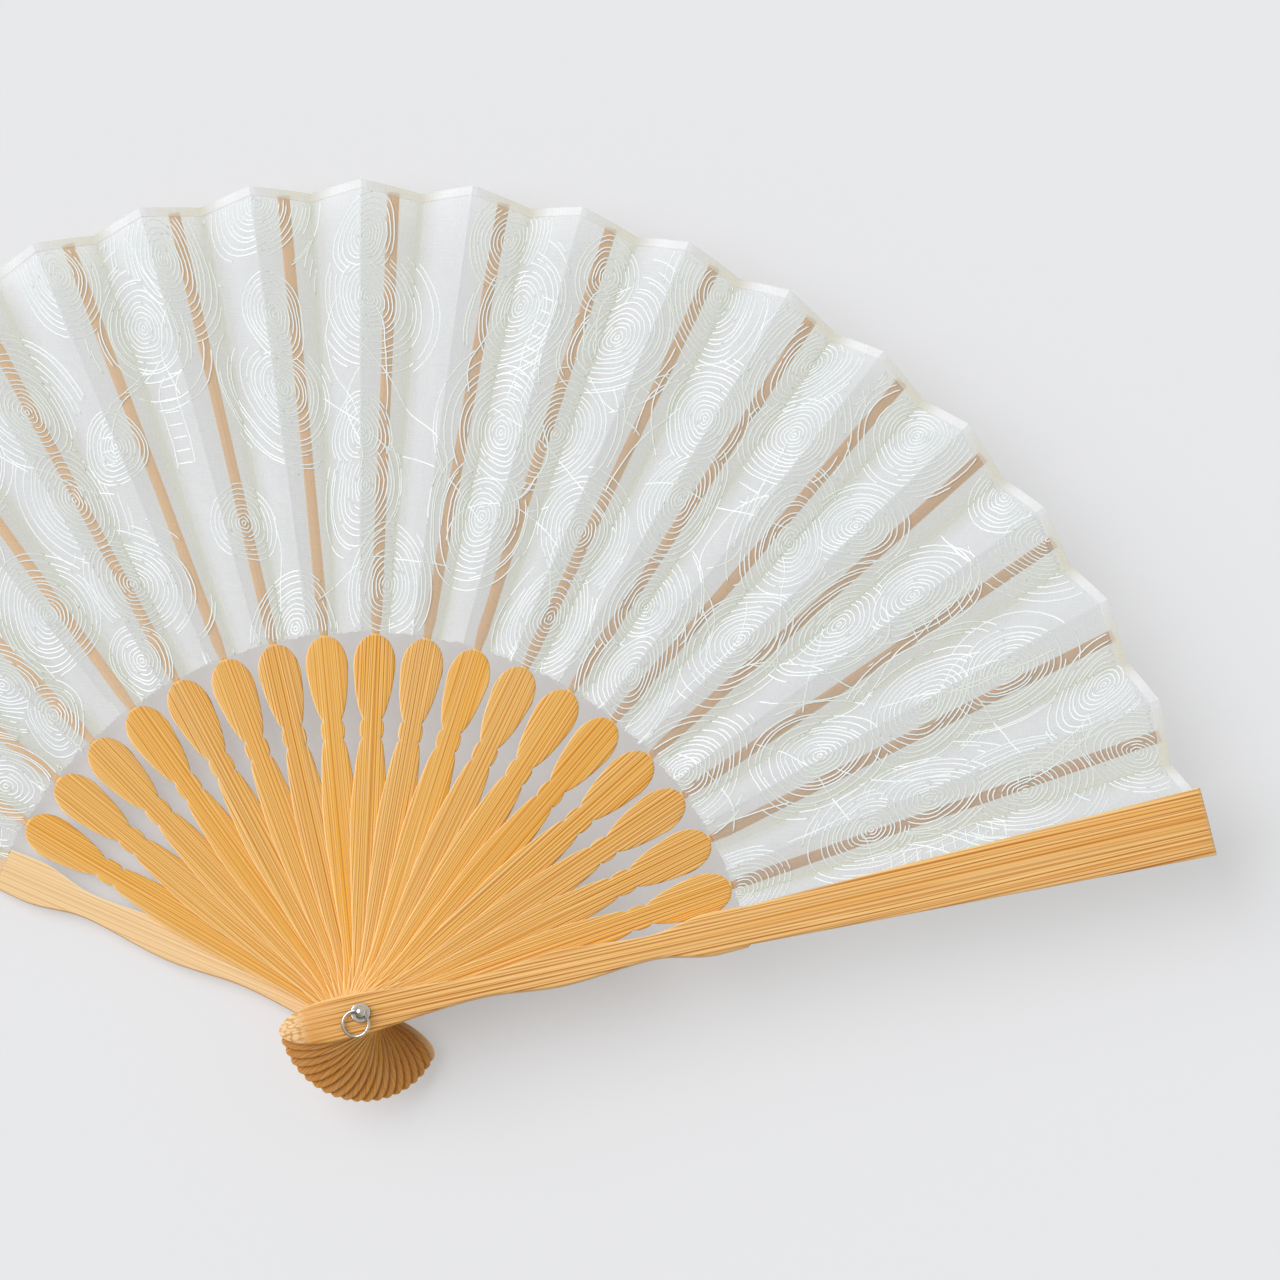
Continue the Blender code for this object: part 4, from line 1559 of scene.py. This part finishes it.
def sewn(name, lines, k):
    """One mesh of the threads on pleat k."""
    curve = bpy.data.curves.new(name, "CURVE")
    curve.dimensions = "3D"
    curve.twist_mode = "Z_UP"
    curve.bevel_mode = "OBJECT"
    curve.bevel_object = section_guide
    curve.use_fill_caps = True
    for line in lines:
        spline = curve.splines.new("POLY")
        spline.points.add(len(line) - 1)
        flat = []
        for radius, angle in line:
            out = radius * MM
            height = leaf_height(pleats[k], out, angle - angles[k]) + levels[k] + THREAD_RISE
            flat += [out * math.cos(angle), out * math.sin(angle), height, 1]
        spline.points.foreach_set("co", flat)
        spline.points[0].radius = THREAD_TIP
        spline.points[-1].radius = THREAD_TIP
    guide = add_object(name + "_guide", curve)
    mesh = settled(guide)
    bpy.data.objects.remove(guide)
    bm = bmesh.new()
    bm.from_mesh(mesh)
    bmesh.ops.remove_doubles(bm, verts=bm.verts, dist=SAME_POINT)
    bmesh.ops.recalc_face_normals(bm, faces=bm.faces)
    bm.to_mesh(mesh)
    bm.free()
    mesh.materials.clear()
    mesh.materials.append(silk_thread.material)
    smoothed(mesh, THREAD_SHARP)
    set_number(mesh, "glue_and_shade", [painted_thread_shade(pleats[k], *seen) for seen in seen_from(mesh, k)])
    return mesh


on_cloth = sorted_by_pleat(threads, LEAF_INNER_RADIUS / MM)
at_edge = sorted_by_pleat(frays, FRAY_LIMIT)
stitchings = []
for k, creases in enumerate(pleats):
    mesh = sewn("stitching", on_cloth[k] + at_edge[k], k)
    stitching = add_object(f"leaf_stitching_{k:02d}", mesh)
    fold_between(stitching, k, creases)
    stitchings.append(stitching)
bpy.data.objects.remove(section_guide)
print("stitching faces:", sum(len(stitching.data.polygons) for stitching in stitchings))

# %% Measure the cloth as it would lie flat
OUTER_WIDTH_SHARE = 1.35

length = LEAF_PEAK_RADIUS - LEAF_INNER_RADIUS
for k, (cloth, stitching) in enumerate(zip(cloths, stitchings)):
    area = sum(face.area for face in cloth.data.polygons) / 2
    width = area / length * OUTER_WIDTH_SHARE
print("one pleat lies flat as", [round(side / MM, 1) for side in (width, length)], "mm")

# %% [markdown]
# ## The rivet
#
# The rivet's shank passes through every stick and is hammered over at the back. On the front it
# carries a washer and a ball with a hole, and a wire ring for a tassel hangs in the hole. All of
# them are turned shapes: half a profile spun round the rivet's axis, and a circle for the ring.

# %% Turn the rivet
TURNED_STEPS = 64
PIN_RADIUS = 1.0 * MM
WASHER_RADIUS = 2.15 * MM
WASHER_THICKNESS = 0.5 * MM
BALL_RADIUS = 1.35 * MM
BALL_RISE = 1.2 * MM
EYE_HOLE_RADIUS = 0.75 * MM
SOCKET_RADIUS = 1.05 * MM
SOCKET_DEPTH = 0.55 * MM
METAL_SHARP = 40
LIGHT_SIDE_TOWARDS = Vector((0.5, 0.4, 0.77))
SPIN_AXIS = {"axis": (0, 0, 1), "cent": (0, 0, 0)}

washer_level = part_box("rivet_eye")[0].z
eye_level = washer_level + WASHER_THICKNESS + BALL_RISE
pin_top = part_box("rivet_pin")[1].z


def turned(profile):
    """A closed shape from half a profile of (radius, height) points that ends on the axis."""
    bm = bmesh.new()
    verts = [bm.verts.new((radius, 0, height)) for radius, height in profile]
    edges = [bm.edges.new(pair) for pair in zip(verts, verts[1:])]
    bmesh.ops.spin(
        bm, geom=verts + edges, angle=math.tau, steps=TURNED_STEPS, use_merge=True, **SPIN_AXIS
    )
    bmesh.ops.remove_doubles(bm, verts=bm.verts, dist=SAME_POINT)
    bmesh.ops.recalc_face_normals(bm, faces=bm.faces)
    return bm


def add_metal(name, mesh, body, node):
    """A silver piece, with a painted highlight where it faces the upper right and painted shade where
    it faces away.
    """
    mesh.materials.clear()
    mesh.materials.append(rivet_silver.material)
    set_number(mesh, "painted_light", [vertex.normal.dot(LIGHT_SIDE_TOWARDS) for vertex in mesh.vertices])
    return add_piece(name, mesh, body, "rivet_metal", node)


def arc(centre, radius, start, end, steps):
    """Points of an arc in a profile, its angles in degrees from level."""
    points = []
    for i in range(steps + 1):
        turn = math.radians(start + (end - start) * i / steps)
        points.append((centre[0] + radius * math.cos(turn), centre[1] + radius * math.sin(turn)))
    return points


PIN_HEAD_RADIUS = 2.3 * MM
PIN_HEAD_THICKNESS = 0.6 * MM
PIN_HEAD_ROUND = 0.25 * MM

head_middle = PIN_HEAD_RADIUS - PIN_HEAD_ROUND
pin_profile = [
    (0, pin_top),
    (PIN_RADIUS, pin_top),
    (PIN_RADIUS, PIN_HEAD_THICKNESS),
    *arc((head_middle, PIN_HEAD_THICKNESS - PIN_HEAD_ROUND), PIN_HEAD_ROUND, 90, 0, 5),
    *arc((head_middle, PIN_HEAD_ROUND), PIN_HEAD_ROUND, 0, -90, 5),
    (0, 0),
]
pin_mesh = smoothed(mesh_of(turned(pin_profile), "pin"), METAL_SHARP)
add_metal("rivet_pin_and_head", pin_mesh, "back_guard", "rivet_pin")
print("the pin is", round(pin_top / MM, 1), "mm long")

# %% Turn the ball eye and drill it
RING_DIRECTION = math.radians(252)
WASHER_ROUND = 0.16 * MM
NECK_ANGLE = -42
NECK_FLARE = 0.04 * MM

eye_place = Matrix.Translation((0, 0, eye_level)) @ Matrix.Rotation(RING_DIRECTION, 4, "Z")
washer_top = washer_level + WASHER_THICKNESS
ball = arc((0, eye_level), BALL_RADIUS, 90, NECK_ANGLE, 18)
eye_profile = [
    (0, eye_level + BALL_RADIUS),
    *ball[1:],
    (ball[-1][0] + NECK_FLARE, washer_top),
    *arc((WASHER_RADIUS - WASHER_ROUND, washer_top - WASHER_ROUND), WASHER_ROUND, 90, 0, 4),
    (WASHER_RADIUS, washer_level),
    (SOCKET_RADIUS, washer_level),
    (SOCKET_RADIUS, washer_level + SOCKET_DEPTH),
    (0, washer_level + SOCKET_DEPTH),
]
eye_drill = drill(EYE_HOLE_RADIUS, 4 * BALL_RADIUS, 40)
eye_drill.transform(eye_place @ Matrix.Rotation(math.pi / 2, 4, "X"))
eye_mesh = combined("eye", mesh_of(turned(eye_profile), "eye"), ("DIFFERENCE", eye_drill))
smoothed(eye_mesh, METAL_SHARP)
add_metal("rivet_washer_and_ball", eye_mesh, "back_guard", "rivet_eye")
print("the ball's middle is", round(eye_level / MM, 2), "mm up")

# %% Bend the wire ring
RING_RADIUS = 2.8 * MM
WIRE_RADIUS = 0.33 * MM
WIRE_SIDES = 20
WIRE_STEPS = 96
SEAM_ANGLE = math.radians(3)
SEAM_AT = math.radians(75)
RING_REST_GAP = 0.1 * MM

guard_top = levels[-1] + GUARD_THICKNESS / 2
ring_drop = eye_level - guard_top - RING_REST_GAP - WIRE_RADIUS
ring_slope = math.asin(ring_drop / (2 * RING_RADIUS))
wire = bmesh.new()
bmesh.ops.create_circle(
    wire,
    cap_ends=True,
    segments=WIRE_SIDES,
    radius=WIRE_RADIUS,
    matrix=Matrix.Translation((RING_RADIUS, 0, 0)) @ Matrix.Rotation(math.pi / 2, 4, "X"),
)
bmesh.ops.spin(
    wire,
    geom=list(wire.faces) + list(wire.edges) + list(wire.verts),
    angle=math.tau - SEAM_ANGLE,
    steps=WIRE_STEPS,
    use_duplicate=False,
    **SPIN_AXIS,
)
bmesh.ops.recalc_face_normals(wire, faces=wire.faces)
ring_mesh = mesh_of(wire, "ring")
ring_mesh.transform(
    eye_place
    @ Matrix.Rotation(ring_slope, 4, "Y")
    @ Matrix.Translation((RING_RADIUS, 0, 0))
    @ Matrix.Rotation(SEAM_AT, 4, "Z")
)
smoothed(ring_mesh, METAL_SHARP)
add_metal("tassel_wire_ring", ring_mesh, "tassel_ring", "tassel_ring")
print("the ring slopes", round(math.degrees(ring_slope), 1), "degrees")
